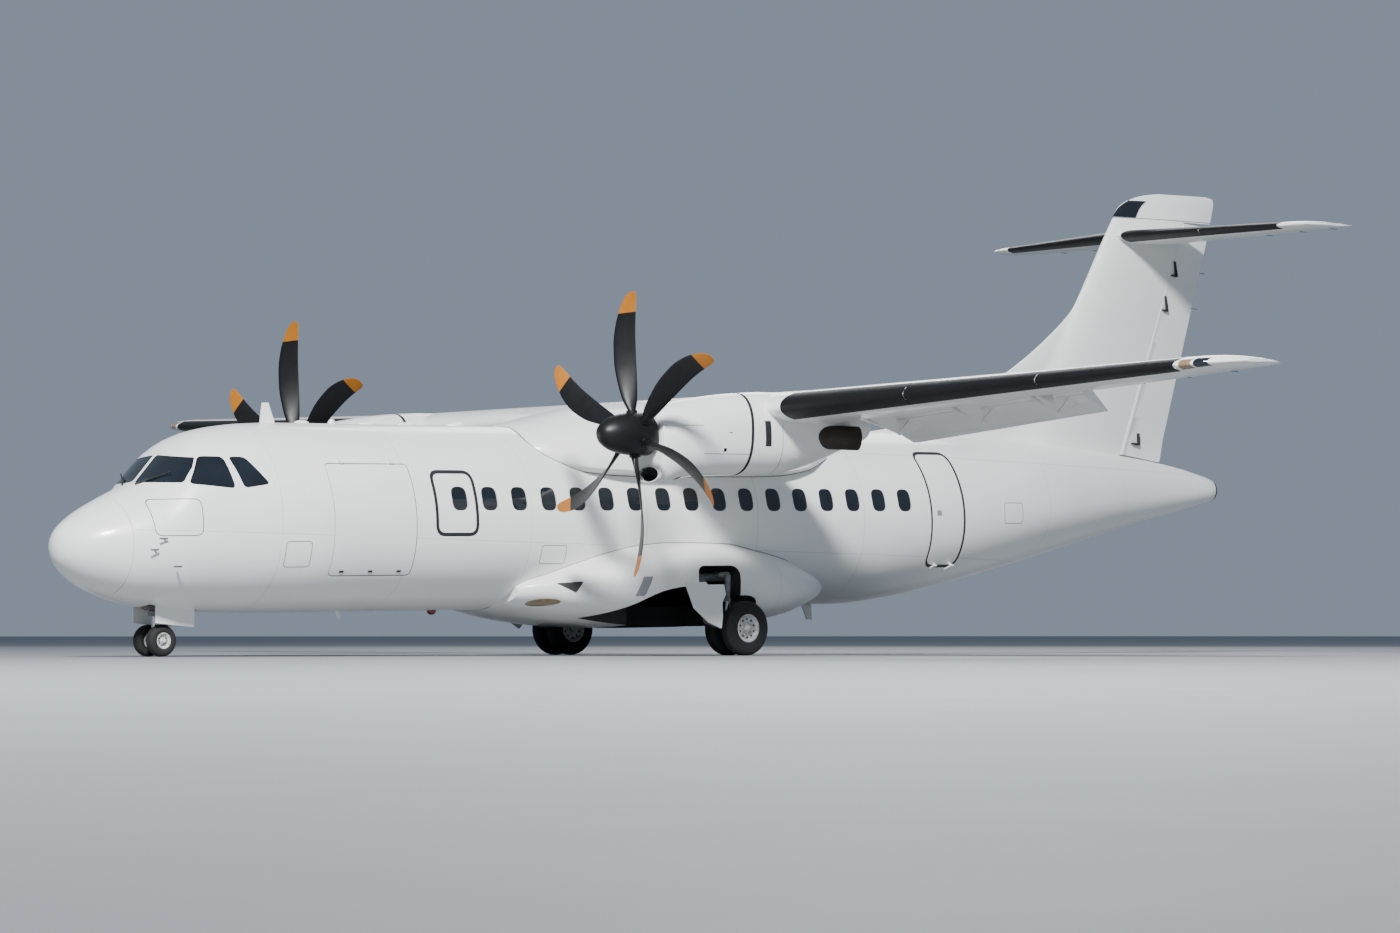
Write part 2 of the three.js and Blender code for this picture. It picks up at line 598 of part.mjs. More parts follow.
function finRing([height, edge, front, back, half], grow = 0) {
  const halfAt = (x) => {
    const share = THREE.MathUtils.clamp((x - front) / (back - front), 0, 1);
    const airfoil = 2 * half * thicknessAt(share);
    const fillet = edge < front - 2
      ? FILLET.half * Math.sqrt(Math.min(1, (x - edge) / FILLET.rise)) * (1 - share) : 0;
    return Math.hypot(airfoil, fillet) + grow;
  };
  const shares = Array.from({ length: FIN_POINTS + 1 }, (_, i) => (
    (1 - Math.cos((Math.PI * i) / FIN_POINTS)) / 2));
  const along = shares.map((s) => edge + s * (back - edge));
  const port = along.map((x) => [x, -halfAt(x), height]).reverse();
  const starboard = along.slice(1).map((x) => [x, halfAt(x), height]);
  return [...port, ...starboard];
}

const finWhole = loft(FIN.map((row) => finRing(row)));
const RUDDER = { bottom: 1340, top: 5296, from: [20330, 1300], to: [21960, 5320], radii: [118, 76],
  nose: [1000, 5600], cut: [800, 5900], pin: [5200, 5355] };
const RUDDER_SLOPE = (RUDDER.to[0] - RUDDER.from[0]) / (RUDDER.to[1] - RUDDER.from[1]);
const rudderAxis = (z) => [RUDDER.from[0] + (z - RUDDER.from[1]) * RUDDER_SLOPE, 0, z];
const rudderRod = (extra) => rod(...RUDDER.nose.map(rudderAxis),
  ...RUDDER.radii.map((radius) => radius + extra), 20);
const [[lowX, , lowZ], [highX, , highZ]] = RUDDER.cut.map(rudderAxis);
const aftOfHinge = slab([[lowX, lowZ], [lowX + FAR, lowZ], [highX + FAR, highZ], [highX, highZ]],
  'y', -FAR, FAR);
const heightBand = (z0, z1) => box(LENGTH / 2, LENGTH + FAR, -FAR, FAR, z0, z1);
const rudderBand = heightBand(RUDDER.bottom, RUDDER.top);
// The tail cone's clearance below, and a top edge that falls aft because the hinge is raked
const RUDDER_FOOT = [[20000, 1000], [20000, 1478], [20480, 1440], [21320, 1335], [21800, 1275],
  [21800, 1000]];
const RUDDER_HEAD = [[21960, RUDDER.top], [22750, RUDDER.top - 44], [22750, 5400], [21960, 5400]];
const rudder = finWhole.intersect(aftOfHinge).add(rudderRod(0)).intersect(rudderBand)
  .subtract(slab(RUDDER_FOOT, 'y', -FAR, FAR)).subtract(slab(RUDDER_HEAD, 'y', -FAR, FAR));
const finFixed = finWhole.subtract(aftOfHinge).subtract(rudderRod(RUNNING));

// Tailplane on top of the fin: span station, front, chord, thickness to chord
const TAILPLANE = [
  [0, 20310, 2090, 0.115],
  [3420, 21010, 1170, 0.1],
  [3560, 21075, 1085, 0.09],
  [3630, 21180, 960, 0.07],
  [3655, 21330, 740, 0.05],
];
const TAIL_Z = 5030;
const TAIL_BAND = [TAIL_Z - 330, TAIL_Z + 270];
const ELEVATOR = { hinge: 21750, inner: 150, horn: 3110, tip: 3655, radii: [80, 38] };
const tailRing = ([span, front, chord, ratio], grow = 0) => (
  section(chord, ratio, 0, grow).map(([u, v]) => [front + u, span, TAIL_Z + v]));
const halfTail = loft(TAILPLANE.map((row) => tailRing(row)));
const onElevatorHinge = (y) => [ELEVATOR.hinge, y, TAIL_Z];
const elevatorBar = (extra) => rod(onElevatorHinge(100), onElevatorHinge(ELEVATOR.tip),
  ...ELEVATOR.radii.map((radius) => radius + extra), 20);
const elevatorOutline = (gap) => slab([
  [ELEVATOR.hinge, ELEVATOR.inner + gap], [ELEVATOR.hinge + 100, ELEVATOR.inner + gap],
  [22800, 520 + gap], [22800, 3700], [20800, 3700], [20800, ELEVATOR.horn + gap],
  [ELEVATOR.hinge, ELEVATOR.horn + gap]], 'z', ...TAIL_BAND);
const elevator = halfTail.intersect(elevatorOutline(0)).add(elevatorBar(0).intersect(
  box(21000, 23000, ELEVATOR.inner, ELEVATOR.horn + 60, ...TAIL_BAND)));
const tailFixed = halfTail.subtract(elevatorOutline(-RUNNING)).subtract(elevatorBar(RUNNING).intersect(
  box(21000, 23000, ELEVATOR.inner - RUNNING, 3200, ...TAIL_BAND))).subtract(
  box(ELEVATOR.hinge - 75, 23000, -1, ELEVATOR.inner + 200, ...TAIL_BAND));
// The outer elevator hinge: a lug on the tailplane in a notch of the elevator, and a pin
const LUG = { y: [3050, 3090], half: 22, root: 18, long: 90, pinTo: 3140 };
const elevatorPin = (radius, y0) => rod(onElevatorHinge(y0), onElevatorHinge(LUG.pinTo), radius, radius,
  PIN_SIDES);
const lug = slab([[ELEVATOR.hinge - LUG.long, TAIL_Z - LUG.root], [ELEVATOR.hinge, TAIL_Z - LUG.half],
  [ELEVATOR.hinge + LUG.half, TAIL_Z], [ELEVATOR.hinge, TAIL_Z + LUG.half],
  [ELEVATOR.hinge - LUG.long, TAIL_Z + LUG.root]], 'y', ...LUG.y)
  .subtract(elevatorPin(boreFor(HINGE_PIN, PIN_SIDES), 3000));
const elevatorHung = elevator.subtract(box(21600, ELEVATOR.hinge + LUG.half + RUNNING,
  LUG.y[0] - RUNNING, LUG.y[1] + RUNNING, 4900, 5200)).add(elevatorPin(HINGE_PIN, LUG.y[0] - 12));
const tailHung = tailFixed.add(lug);
place('tailplane', tailHung.add(mirrored(tailHung)), WHITE_PAINT);
const tailGrownHalf = loft(TAILPLANE.slice(0, 2).map((row) => tailRing(row, TOUCH)));
const tailGrown = tailGrownHalf.add(mirrored(tailGrownHalf));

// The fin stops under the tailplane, and its cap closes the top
const CAP_FOOT = 5320;
const CAP = [
  [5318, 20360, 20361, 22650, 132],
  [5520, 20520, 20521, 22705, 112],
  [5660, 20790, 20791, 22735, 80],
  [5735, 21100, 21101, 22720, 50],
  [5770, 21450, 21451, 22560, 24],
];
const capTop = loft(CAP.map((row) => finRing(row)));
const finCore = finFixed.subtract(tailGrown).subtract(
  loft(NOSE_TO_TAIL.slice(16).map((row) => bodyRing(row, -TOUCH))));
place('fin', finCore.intersect(heightBand(1000, TAIL_Z - TOUCH / 2)), WHITE_PAINT);
const rudderPin = (radius, extra) => rod(rudderAxis(RUDDER.pin[0]), rudderAxis(RUDDER.pin[1] + extra),
  radius, radius, PIN_SIDES);
place('fin_cap', finCore.intersect(heightBand(TAIL_Z + TOUCH / 2, CAP_FOOT)).add(capTop).subtract(
  rudderPin(boreFor(HINGE_PIN, PIN_SIDES), RUNNING)), WHITE_PAINT);
place('rudder', rudder.add(rudderPin(HINGE_PIN, 0)), WHITE_PAINT);
for (const side of Object.keys(SIDES)) place(`elevator_${side}`, onSide(side, elevatorHung), WHITE_PAINT);

// Nacelles
const NACELLE = [
  [7110, 1800, 815, 330, 1400, 2, 2.2],
  [7190, 1850, 775, 380, 1400, 2, 2.3],
  [7400, 1915, 830, 430, 1400, 2.1, 2.4],
  [7800, 1990, 895, 458, 1420, 2.2, 2.4],
  [8600, 2080, 920, 470, 1450, 2.3, 2.4],
  [9200, 2108, 930, 465, 1460, 2.3, 2.4],
  [9700, 2095, 1010, 445, 1480, 2.2, 2.3],
  [10150, 2030, 1130, 410, 1530, 2, 2.2],
  [10650, 1900, 1300, 330, 1600, 2, 2],
  [11100, 1790, 1450, 210, 1630, 2, 2],
];
const atHub = (shape) => shape.translate([0, HUB.y, 0]);
const ENGINE = { x: [7520, 8860], half: 235, z: [1160, 1780] };
const SHAFT = { radius: 75, back: ENGINE.x[0] - TOUCH, sides: 16 };
const nacelleSpace = box(7400, 8900, -300, 300, ENGINE.z[0], 1800);
// The intake is an oval duct that turns up into the space around the engine
const INTAKE = { z: 930, half: [230, 105], x: [7060, 7520], sides: 18,
  turn: { x: 7420, half: 180, low: 40 } };
const intakeDuct = solid(new THREE.CylinderGeometry(1, 1, INTAKE.x[1] - INTAKE.x[0], INTAKE.sides)
  .rotateZ(Math.PI / 2).scale(1, ...INTAKE.half)
  .translate((INTAKE.x[0] + INTAKE.x[1]) / 2, 0, INTAKE.z)).add(
  box(INTAKE.turn.x, INTAKE.x[1], -INTAKE.turn.half, INTAKE.turn.half, INTAKE.z - INTAKE.turn.low,
    ENGINE.z[0] + 20));
const nacelleRound = atHub(loft(NACELLE.map((row) => bodyRing(row, 0, FAIRING_POINTS)))
  .subtract(nacelleSpace).subtract(intakeDuct)
  .subtract(rod([7000, 0, HUB.z], [7450, 0, HUB.z], boreFor(SHAFT.radius, SHAFT.sides),
    boreFor(SHAFT.radius, SHAFT.sides), SHAFT.sides)));
const EXHAUST = { from: [9850, 4290, 1480], to: [10560, 4560, 1450], radius: 172, wall: 12, sides: 18 };
const exhaustRod = (start, end, radius) => rod(between(EXHAUST.from, EXHAUST.to, start),
  between(EXHAUST.from, EXHAUST.to, end), radius, radius, EXHAUST.sides);
const exhaustPipe = exhaustRod(0, 1, EXHAUST.radius).subtract(
  exhaustRod(0.25, 1.1, EXHAUST.radius - EXHAUST.wall));
const exhaustSeat = exhaustRod(-0.001, 1.2, EXHAUST.radius + TOUCH);
const nacelle = nacelleRound.subtract(wingGrown).subtract(exhaustSeat);
const engine = atHub(box(ENGINE.x[0], ENGINE.x[1], -ENGINE.half, ENGINE.half,
  ENGINE.z[0] + TOUCH, ENGINE.z[1]));

// Propeller: blade radius, chord, sweep of the middle of the chord, pitch angle, thickness
const BLADE = [
  [330, 120, 0, 60, 96],
  [440, 190, -18, 56, 60],
  [700, 265, -52, 47, 36],
  [1000, 315, -72, 39, 26],
  [1300, 325, -58, 32, 20],
  [1550, 300, -8, 28, 15],
  [1800, 235, 85, 24, 10],
  [PROPELLER_RADIUS, 80, 182, 22, 5],
];
const BLADE_POINTS = 6;
const CUFF = { from: 60, to: 345, radius: 62, sides: 8 };
const HUB_BODY = { front: -150, back: 190, radius: 150, sides: 16 };
const SPINNER_SIDES = 16;

// One blade standing straight up on the x axis, turning towards starboard at its top
function bladeRing([radius, chord, sweep, pitch, thick]) {
  const angle = THREE.MathUtils.degToRad(pitch);
  return Array.from({ length: BLADE_POINTS }, (_, i) => {
    const turn = (2 * Math.PI * i) / BLADE_POINTS;
    const u = (Math.cos(turn) * chord) / 2;
    const v = (Math.sin(turn) * thick) / 2;
    return [
      u * Math.sin(angle) + v * Math.cos(angle),
      -sweep + -u * Math.cos(angle) + v * Math.sin(angle),
      radius,
    ];
  });
}

const cuff = (to, gap) => rod([0, 0, CUFF.from], [0, 0, to], CUFF.radius + gap, CUFF.radius + gap,
  CUFF.sides);
const blade = loft(BLADE.map(bladeRing)).add(cuff(CUFF.to, 0));
const blades = Array.from({ length: BLADES }, (_, i) => (
  blade.rotate([-FIRST_BLADE_DEG - (360 / BLADES) * i, 0, 0])));
const hubRod = (front, back, gap) => rod([front, 0, 0], [back, 0, 0], HUB_BODY.radius + gap,
  HUB_BODY.radius + gap, HUB_BODY.sides);
const hubBody = hubRod(HUB_BODY.front, HUB_BODY.back, 0).add(
  rod([HUB_BODY.back / 2, 0, 0], [SHAFT.back - HUB.x, 0, 0], SHAFT.radius, SHAFT.radius, SHAFT.sides));
const propeller = joined([hubBody, ...blades]);
const spinnerProfile = [[0, -610], [80, -592], [160, -525], [225, -410], [272, -250], [296, -60],
  [300, 215], [0, 215]];
const spinnerCone = solid(new THREE.LatheGeometry(
  spinnerProfile.map(([r, h]) => new THREE.Vector2(r, h)), SPINNER_SIDES).rotateX(Math.PI / 2)
  .rotateY(Math.PI / 2));
const bladeHoles = Array.from({ length: BLADES }, (_, i) => (
  cuff(CUFF.to + 55, 2).rotate([-FIRST_BLADE_DEG - (360 / BLADES) * i, 0, 0])));
const spinner = spinnerCone.subtract(joined(bladeHoles)).subtract(
  hubRod(HUB_BODY.front - TOUCH, HUB_BODY.back + 110, TOUCH));

for (const [side, sign] of Object.entries(SIDES)) {
  const hub = [HUB.x, sign * HUB.y, HUB.z];
  place(`nacelle_${side}`, onSide(side, nacelle), WHITE_PAINT);
  place(`engine_${side}`, onSide(side, engine), DARK_METAL);
  place(`exhaust_${side}`, onSide(side, exhaustPipe), BARE_STEEL);
  place(`propeller_${side}`, propeller.translate(hub), BLACK_COMPOSITE);
  place(`spinner_${side}`, spinner.translate(hub), BLACK_COMPOSITE);
}

// A wheel's lathe about its axle, with one flat of its rim straight down when parked
const WHEEL_STEP = 360 / TYRE_SEGMENTS;
function wheel(profile, x, y, z) {
  const points = profile.map(([radius, across]) => new THREE.Vector2(radius, across));
  const geometry = new THREE.LatheGeometry(points, TYRE_SEGMENTS);
  geometry.rotateY(THREE.MathUtils.degToRad(WHEEL_STEP / 2) + PARKED_PITCH).translate(x, y, z);
  return solid(geometry);
}

// Closed half section of a tyre and of the rim that fills it, as [radius, across the wheel]
function tyreProfile({ radius, width }, bead) {
  const side = [[bead, 0.42], [radius * 0.76, 0.5], [radius * 0.94, 0.42], [radius, 0.2]];
  return [...side.map(([r, share]) => [r, -share * width]),
    ...side.reverse().map(([r, share]) => [r, share * width]), [bead, -0.42 * width]];
}
function rimProfile(width, bead, axle, dish) {
  const half = 0.42 * width;
  return [[0, -half - 12], [axle * 1.6, -half - 12], [axle * 1.8, -half + dish],
    [bead * 0.8, -half + dish], [bead * 0.88, -half - 4], [bead, -half - 4], [bead, half + 4],
    [bead * 0.8, half - dish], [axle * 1.8, half - dish], [axle * 1.6, half + 12], [0, half + 12]];
}
const BEAD = { nose: 112, main: 205 };
const AXLE = { nose: 30, main: 44, sides: 14, boreSides: 18 };
const rims = (kind, tyre, x, y, z, dish) => joined([-1, 1].map((way) => (
  wheel(rimProfile(tyre.width, BEAD[kind] - TOUCH, AXLE[kind], dish), x,
    y + (way * tyre.spacing) / 2, z)))).add(
  rod([x, y - tyre.spacing / 2, z], [x, y + tyre.spacing / 2, z], AXLE[kind], AXLE[kind], AXLE.sides));

// Nose gear: the leg and its brace in the bay, and the fork that steers below it
const NOSE_LEG = { radius: 72, low: -880, brace: [2060, -345] };
const nx = NOSE_AXLE.x;
const noseLeg = joined([
  rod([nx, 0, NOSE_BAY.roof - TOUCH], [nx, 0, NOSE_LEG.low], NOSE_LEG.radius, NOSE_LEG.radius, 16),
  rod([nx, -NOSE_BAY.half + TOUCH, -430], [nx, NOSE_BAY.half - TOUCH, -430], 48, 48, 12),
  rod([nx, 0, -760], [NOSE_LEG.brace[0], 0, NOSE_LEG.brace[1] - 60], 34, 34, 12),
  rod([nx - 175, 0, -800], [nx - 40, 0, -800], 74, 60, 16),
]);
const axleBore = (kind, x, y, z) => {
  const radius = boreFor(AXLE[kind], AXLE.boreSides);
  return rod([x, y - 200, z], [x, y + 200, z], radius, radius, AXLE.boreSides);
};
const noseFork = joined([
  rod([nx, 0, NOSE_LEG.low - 0.5], [nx, 0, NOSE_LEG.low - 70], 88, 88, 16),
  rod([nx, 0, NOSE_LEG.low - 60], [nx, 0, -1215], 44, 44, 16),
  rod([nx, 0, -1170], [nx, 0, NOSE_AXLE.z - 58], 54, 54, 16),
  slab([[nx + 40, -905], [nx + 100, -915], [nx + 215, -1075], [nx + 90, -1235], [nx + 40, -1235],
    [nx + 160, -1075], [nx + 40, -955]], 'y', -24, 24),
]).subtract(axleBore('nose', nx, 0, NOSE_AXLE.z));
place('nose_leg', noseLeg, GEAR_PAINT);
place('nose_fork', noseFork, GEAR_PAINT);
place('nose_rims', rims('nose', NOSE_TYRE, nx, 0, NOSE_AXLE.z, 22), GEAR_PAINT);

// Main gear: trunnion across the slot, leg, trailing arm, shock strut and side stay
const mx = MAIN_AXLE.x;
const my = MAIN_AXLE.y;
const ARM_HALF = 54;
const TRUNNION = { y: 1740, z: -500 };
const PIVOT = [9860, my, -1110];
const STRUT = { top: [10240, my - 15, -470], foot: [10190, my, -1165], radius: 46 };
const mainLeg = joined([
  rod([LEG_SLOT.x[0] + TOUCH, TRUNNION.y, TRUNNION.z], [LEG_SLOT.x[1] - TOUCH, TRUNNION.y, TRUNNION.z],
    62, 62, 12),
  rod([9930, TRUNNION.y, TRUNNION.z], PIVOT, 88, 62, 16),
  rod([PIVOT[0], my - 60, PIVOT[2]], [PIVOT[0], my + 60, PIVOT[2]], 74, 74, 16),
  slab([[9860, -1050], [9940, -1050], [mx + 20, MAIN_AXLE.z + 78], [mx + 70, MAIN_AXLE.z],
    [mx + 20, MAIN_AXLE.z - 78], [mx - 60, MAIN_AXLE.z - 70], [9840, -1180]], 'y',
  my - ARM_HALF, my + ARM_HALF),
  rod([STRUT.top[0], TRUNNION.y, STRUT.top[2]], STRUT.top, 48, 48, 12),
  rod(STRUT.top, STRUT.foot, STRUT.radius, STRUT.radius - 8, 14),
  rod([9760, TRUNNION.y, TRUNNION.z], [9850, 1985, -960], 32, 32, 10),
]).subtract(axleBore('main', mx, my, MAIN_AXLE.z));

// Leg doors: curved around the outer tyre, hung on the sponson's edge
const DOOR_TILT = 28;
const gearDoorOutline = [[9420, 60], [9810, 60], [9825, -30], [10140, -30], [10110, -190],
  [9985, -330], [9900, -560], [9800, -745], [9600, -640], [9420, -400]];
const fairingGrown = loft(FAIRING.map((row) => bodyRing(row, -TOUCH, FAIRING_POINTS)));
const mainDoor = slab(gearDoorOutline, 'y', 0, 22).rotate([DOOR_TILT, 0, 0])
  .translate([0, 2035, -590]);

for (const [side, sign] of Object.entries(SIDES)) {
  const out = (sign * NOSE_TYRE.spacing) / 2;
  place(`nose_tyre_${side}`, wheel(tyreProfile(NOSE_TYRE, BEAD.nose), nx, out, NOSE_AXLE.z),
    TYRE_RUBBER);
  place(`nose_door_${side}`, onSide(side, slab([[1440, -700], [2075, -700], [2060, -1110],
    [1430, -1045]], 'y', NOSE_BAY.half - TOUCH - 18, NOSE_BAY.half - TOUCH)), WHITE_PAINT);
  place(`main_leg_${side}`, onSide(side, mainLeg), GEAR_PAINT);
  place(`main_rims_${side}`, rims('main', MAIN_TYRE, mx, sign * my, MAIN_AXLE.z, 40), GEAR_PAINT);
  place(`main_door_${side}`, onSide(side, mainDoor).subtract(fairingGrown), WHITE_PAINT);
  for (const [where, way] of [['inner', -1], ['outer', 1]]) {
    const y = sign * (my + (way * MAIN_TYRE.spacing) / 2);
    place(`main_tyre_${side}_${where}`,
      wheel(tyreProfile(MAIN_TYRE, BEAD.main), mx, y, MAIN_AXLE.z), TYRE_RUBBER);
  }
}

// Blade aerials on the roof behind the cockpit and under the rear belly
const AERIALS = {
  roof_aerial: [[3380, 1690], [3430, 2020], [3530, 2020], [3650, 1690]],
  belly_aerial: [[13420, -850], [13560, -1160], [13660, -1160], [13640, -850]],
};
for (const [name, outline] of Object.entries(AERIALS)) {
  place(name, slab(outline, 'y', -12, 12).subtract(hullGrown), WHITE_PAINT);
}

// The fuselage's three sections meet at two bolted frames
const SECTIONS = {
  fuselage_nose: [0, SECTION_JOINTS[0] - TOUCH],
  fuselage_center: [SECTION_JOINTS[0], SECTION_JOINTS[1] - TOUCH],
  fuselage_tail: [SECTION_JOINTS[1], LENGTH],
};
for (const [name, [from, to]] of Object.entries(SECTIONS)) {
  place(name, fuselage.intersect(box(from, to, -FAR, FAR, -FAR, FAR)), WHITE_PAINT);
}

// On the ground: turned to the parked attitude, with the origin under the middle of the box
const airliner = new THREE.Group();
airliner.add(aircraft);
aircraft.rotation.y = -PARKED_PITCH;
airliner.updateMatrixWorld(true);
const extent = new THREE.Box3().setFromObject(airliner, true);
aircraft.position.set(-(extent.min.x + extent.max.x) / 2, 0, -extent.min.z);
airliner.updateMatrixWorld(true);

export default airliner;
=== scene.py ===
# %% [markdown]
# This lesson dresses a 42-seat, high-wing, T-tailed turboprop airliner. The solids come from a CAD model in
# one fixed frame, in metres: +X runs aft, +Y to starboard and +Z up, with the origin on the floor under the
# middle of the aircraft. Everything made here is placed in that same frame, so nothing has to be fitted by
# eye.

# %% Load the frame
import json
import math
import bpy
from mathutils import Matrix, Vector

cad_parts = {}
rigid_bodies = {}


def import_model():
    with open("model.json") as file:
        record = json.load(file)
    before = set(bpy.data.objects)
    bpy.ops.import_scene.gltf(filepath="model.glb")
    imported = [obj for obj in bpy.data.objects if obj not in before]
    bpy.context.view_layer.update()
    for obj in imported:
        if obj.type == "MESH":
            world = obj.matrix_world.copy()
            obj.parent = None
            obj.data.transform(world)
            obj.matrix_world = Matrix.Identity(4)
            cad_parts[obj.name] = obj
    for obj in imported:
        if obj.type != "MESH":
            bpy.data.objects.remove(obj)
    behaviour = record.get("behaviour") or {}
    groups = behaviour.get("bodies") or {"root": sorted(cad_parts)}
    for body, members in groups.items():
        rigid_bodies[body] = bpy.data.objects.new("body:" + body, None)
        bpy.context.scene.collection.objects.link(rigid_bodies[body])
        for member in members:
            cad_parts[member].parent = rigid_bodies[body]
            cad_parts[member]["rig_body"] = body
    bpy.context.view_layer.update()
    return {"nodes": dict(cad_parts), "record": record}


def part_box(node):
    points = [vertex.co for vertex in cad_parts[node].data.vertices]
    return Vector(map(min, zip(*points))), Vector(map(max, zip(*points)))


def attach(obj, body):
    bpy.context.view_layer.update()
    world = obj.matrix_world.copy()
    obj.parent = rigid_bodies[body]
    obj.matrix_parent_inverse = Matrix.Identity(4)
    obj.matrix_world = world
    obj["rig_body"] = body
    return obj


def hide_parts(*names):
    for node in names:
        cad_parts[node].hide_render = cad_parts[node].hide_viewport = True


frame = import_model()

# %% [markdown]
# An airliner is drawn in stations: x aft of the nose tip, y to starboard, z above the nose tip. Parked, it
# stands with its nose a degree off level, so stations and frame differ by one turn and one shift. Both
# follow from the centres of two tyres, which are known in stations and can be measured in the loaded frame.

# %% From stations to the frame
NOSE_AXLE = Vector((1.600, 0, -1.290))
MAIN_AXLE = Vector((10.380, 2.050, -1.250))


def middle_of(node):
    low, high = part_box(node)
    return (low + high) / 2


nose_tyre, main_tyre = middle_of("nose_tyre_left"), middle_of("main_tyre_left_outer")
measured = math.atan2(main_tyre.z - nose_tyre.z, main_tyre.x - nose_tyre.x)
drawn = math.atan2(MAIN_AXLE.z - NOSE_AXLE.z, MAIN_AXLE.x - NOSE_AXLE.x)
turn = Matrix.Rotation(drawn - measured, 4, "Y")
nose_axle = Vector((nose_tyre.x, 0, nose_tyre.z))
STATIONS = Matrix.Translation(nose_axle - turn @ NOSE_AXLE) @ turn
MIRROR = Matrix.Scale(-1, 4, (0, 1, 0))
SIDES = {"left": -1, "right": 1}
print("parked pitch", round(math.degrees(measured - drawn), 3), "nose tip at", STATIONS @ Vector())

# %% [markdown]
# The camera comes next. In the photograph it looks up at the aircraft from ahead and to its left through a
# long lens. Here the aircraft is parked, so the camera lies at floor level on the same bearing. It stands
# 70 m off, where a fitted camera puts the wing tips, tail and wheels nearest to their places in the
# picture.

# %% Camera
IMAGE = (1400, 933)
SENSOR_MM = 36
BEARING = math.radians(-40.0)
CAMERA_DISTANCE, CAMERA_HEIGHT = 70, 0.3
CAMERA_AIM = Vector((0.1, 0, 2.85))
FOCAL_PX = 4630
camera = bpy.data.objects.new("camera", bpy.data.cameras.new("camera"))
bpy.context.collection.objects.link(camera)
camera.location = (CAMERA_DISTANCE * math.sin(BEARING), -CAMERA_DISTANCE * math.cos(BEARING), CAMERA_HEIGHT)
camera.rotation_euler = (CAMERA_AIM - camera.location).to_track_quat("-Z", "Y").to_euler()
camera.data.sensor_width = SENSOR_MM
camera.data.lens = FOCAL_PX / IMAGE[0] * SENSOR_MM
camera.data.clip_end = 2000
bpy.context.scene.camera = camera
print("lens", round(camera.data.lens, 1), "mm")

# %% [markdown]
# Paint, rubber, glass and steel are all settings of one shader, joined to a few nodes that vary them. They
# could be built by hand for each finish; here a few short functions add a node, turn a hex colour into the
# linear values that the renderer works in, and lay noise whose size is given in millimetres. That keeps
# each finish down to a few lines.

# %% Helpers for materials
def linear(colour):
    """The linear values of an sRGB hex colour."""
    channels = (int(colour[i:i + 2], 16) / 255 for i in (1, 3, 5))
    return (*(c / 12.92 if c <= 0.04045 else ((c + 0.055) / 1.055) ** 2.4 for c in channels), 1)


def add_node(tree, kind, inputs=(), **settings):
    """Add one node, give it its settings, and set or link its inputs."""
    node = tree.nodes.new(kind)
    for name, value in settings.items():
        setattr(node, name, value)
    for name, value in dict(inputs).items():
        if isinstance(value, bpy.types.NodeSocket):
            tree.links.new(value, node.inputs[name])
        else:
            node.inputs[name].default_value = value
    return node


def new_material(name, colour, **shader):
    """A material of one colour, with its settings named as on the shader."""
    material = bpy.data.materials.new(name)
    material.use_nodes = True
    tree = material.node_tree
    surface = tree.nodes["Principled BSDF"]
    surface.inputs["Base Color"].default_value = linear(colour)
    for socket, value in shader.items():
        surface.inputs[socket.replace("_", " ")].default_value = value
    return material, tree, surface


def object_pattern(tree, scale=(1, 1, 1), turned=(0, 0, 0)):
    """Object coordinates in metres, scaled and turned by a Mapping node."""
    place = add_node(tree, "ShaderNodeTexCoord").outputs["Object"]
    inputs = {"Vector": place, "Scale": scale, "Rotation": turned}
    return add_node(tree, "ShaderNodeMapping", inputs).outputs["Vector"]


def noise(tree, size_mm, vector=None, detail=3):
    """Noise whose blotches are about size_mm across."""
    inputs = {"Vector": vector or object_pattern(tree), "Scale": 1000 / size_mm, "Detail": detail}
    return add_node(tree, "ShaderNodeTexNoise", inputs).outputs["Fac"]


def spread(tree, value, low, high):
    """A value from 0 to 1 spread between two others."""
    inputs = {"Value": value, "To Min": low, "To Max": high}
    return add_node(tree, "ShaderNodeMapRange", inputs).outputs["Result"]


def roughened(tree, surface, value, low, high):
    """Let the roughness wander between two values."""
    tree.links.new(spread(tree, value, low, high), surface.inputs["Roughness"])


def bump(tree, surface, height, depth_mm, strength=1.0):
    inputs = {"Height": height, "Distance": depth_mm / 1000, "Strength": strength}
    node = add_node(tree, "ShaderNodeBump", inputs)
    tree.links.new(node.outputs["Normal"], surface.inputs["Normal"])


def tint(tree, surface, share, first, second):
    """Mix two colours by a share and use them as the surface's colour."""
    mix = add_node(tree, "ShaderNodeMix", {"Factor": share}, data_type="RGBA")
    mix.inputs[6].default_value, mix.inputs[7].default_value = linear(first), linear(second)
    tree.links.new(mix.outputs[2], surface.inputs["Base Color"])


print("helpers for materials")

# %% [markdown]
# A studio floor wide enough to reach the horizon, one large soft lamp high on the left of the nose, where
# the sun stands in the photograph, and a weaker one behind keep the white paint bright above and shaded
# below.

# %% Floor, world and lamps
FLOOR_SIZE = 1600
WORLD_STRENGTH = 0.62
LAMP_AIM = Vector((0, 0, 2))
# name, place, size in metres, watts
LAMPS = [("key_lamp", (-38, -36, 40), 8, 84000), ("rear_lamp", (34, 30, 26), 22, 7000)]

# Matt grey paint on a smooth floor: it takes soft shadows and adds no colour of its own
floor_paint, tree, surface = new_material("studio_floor_paint", "#85898D", Roughness=0.6)
roughened(tree, surface, noise(tree, 900), 0.55, 0.7)
bpy.ops.mesh.primitive_plane_add(size=FLOOR_SIZE)
studio_floor = bpy.context.object
studio_floor.name = "studio_floor"
studio_floor.data.materials.append(floor_paint)

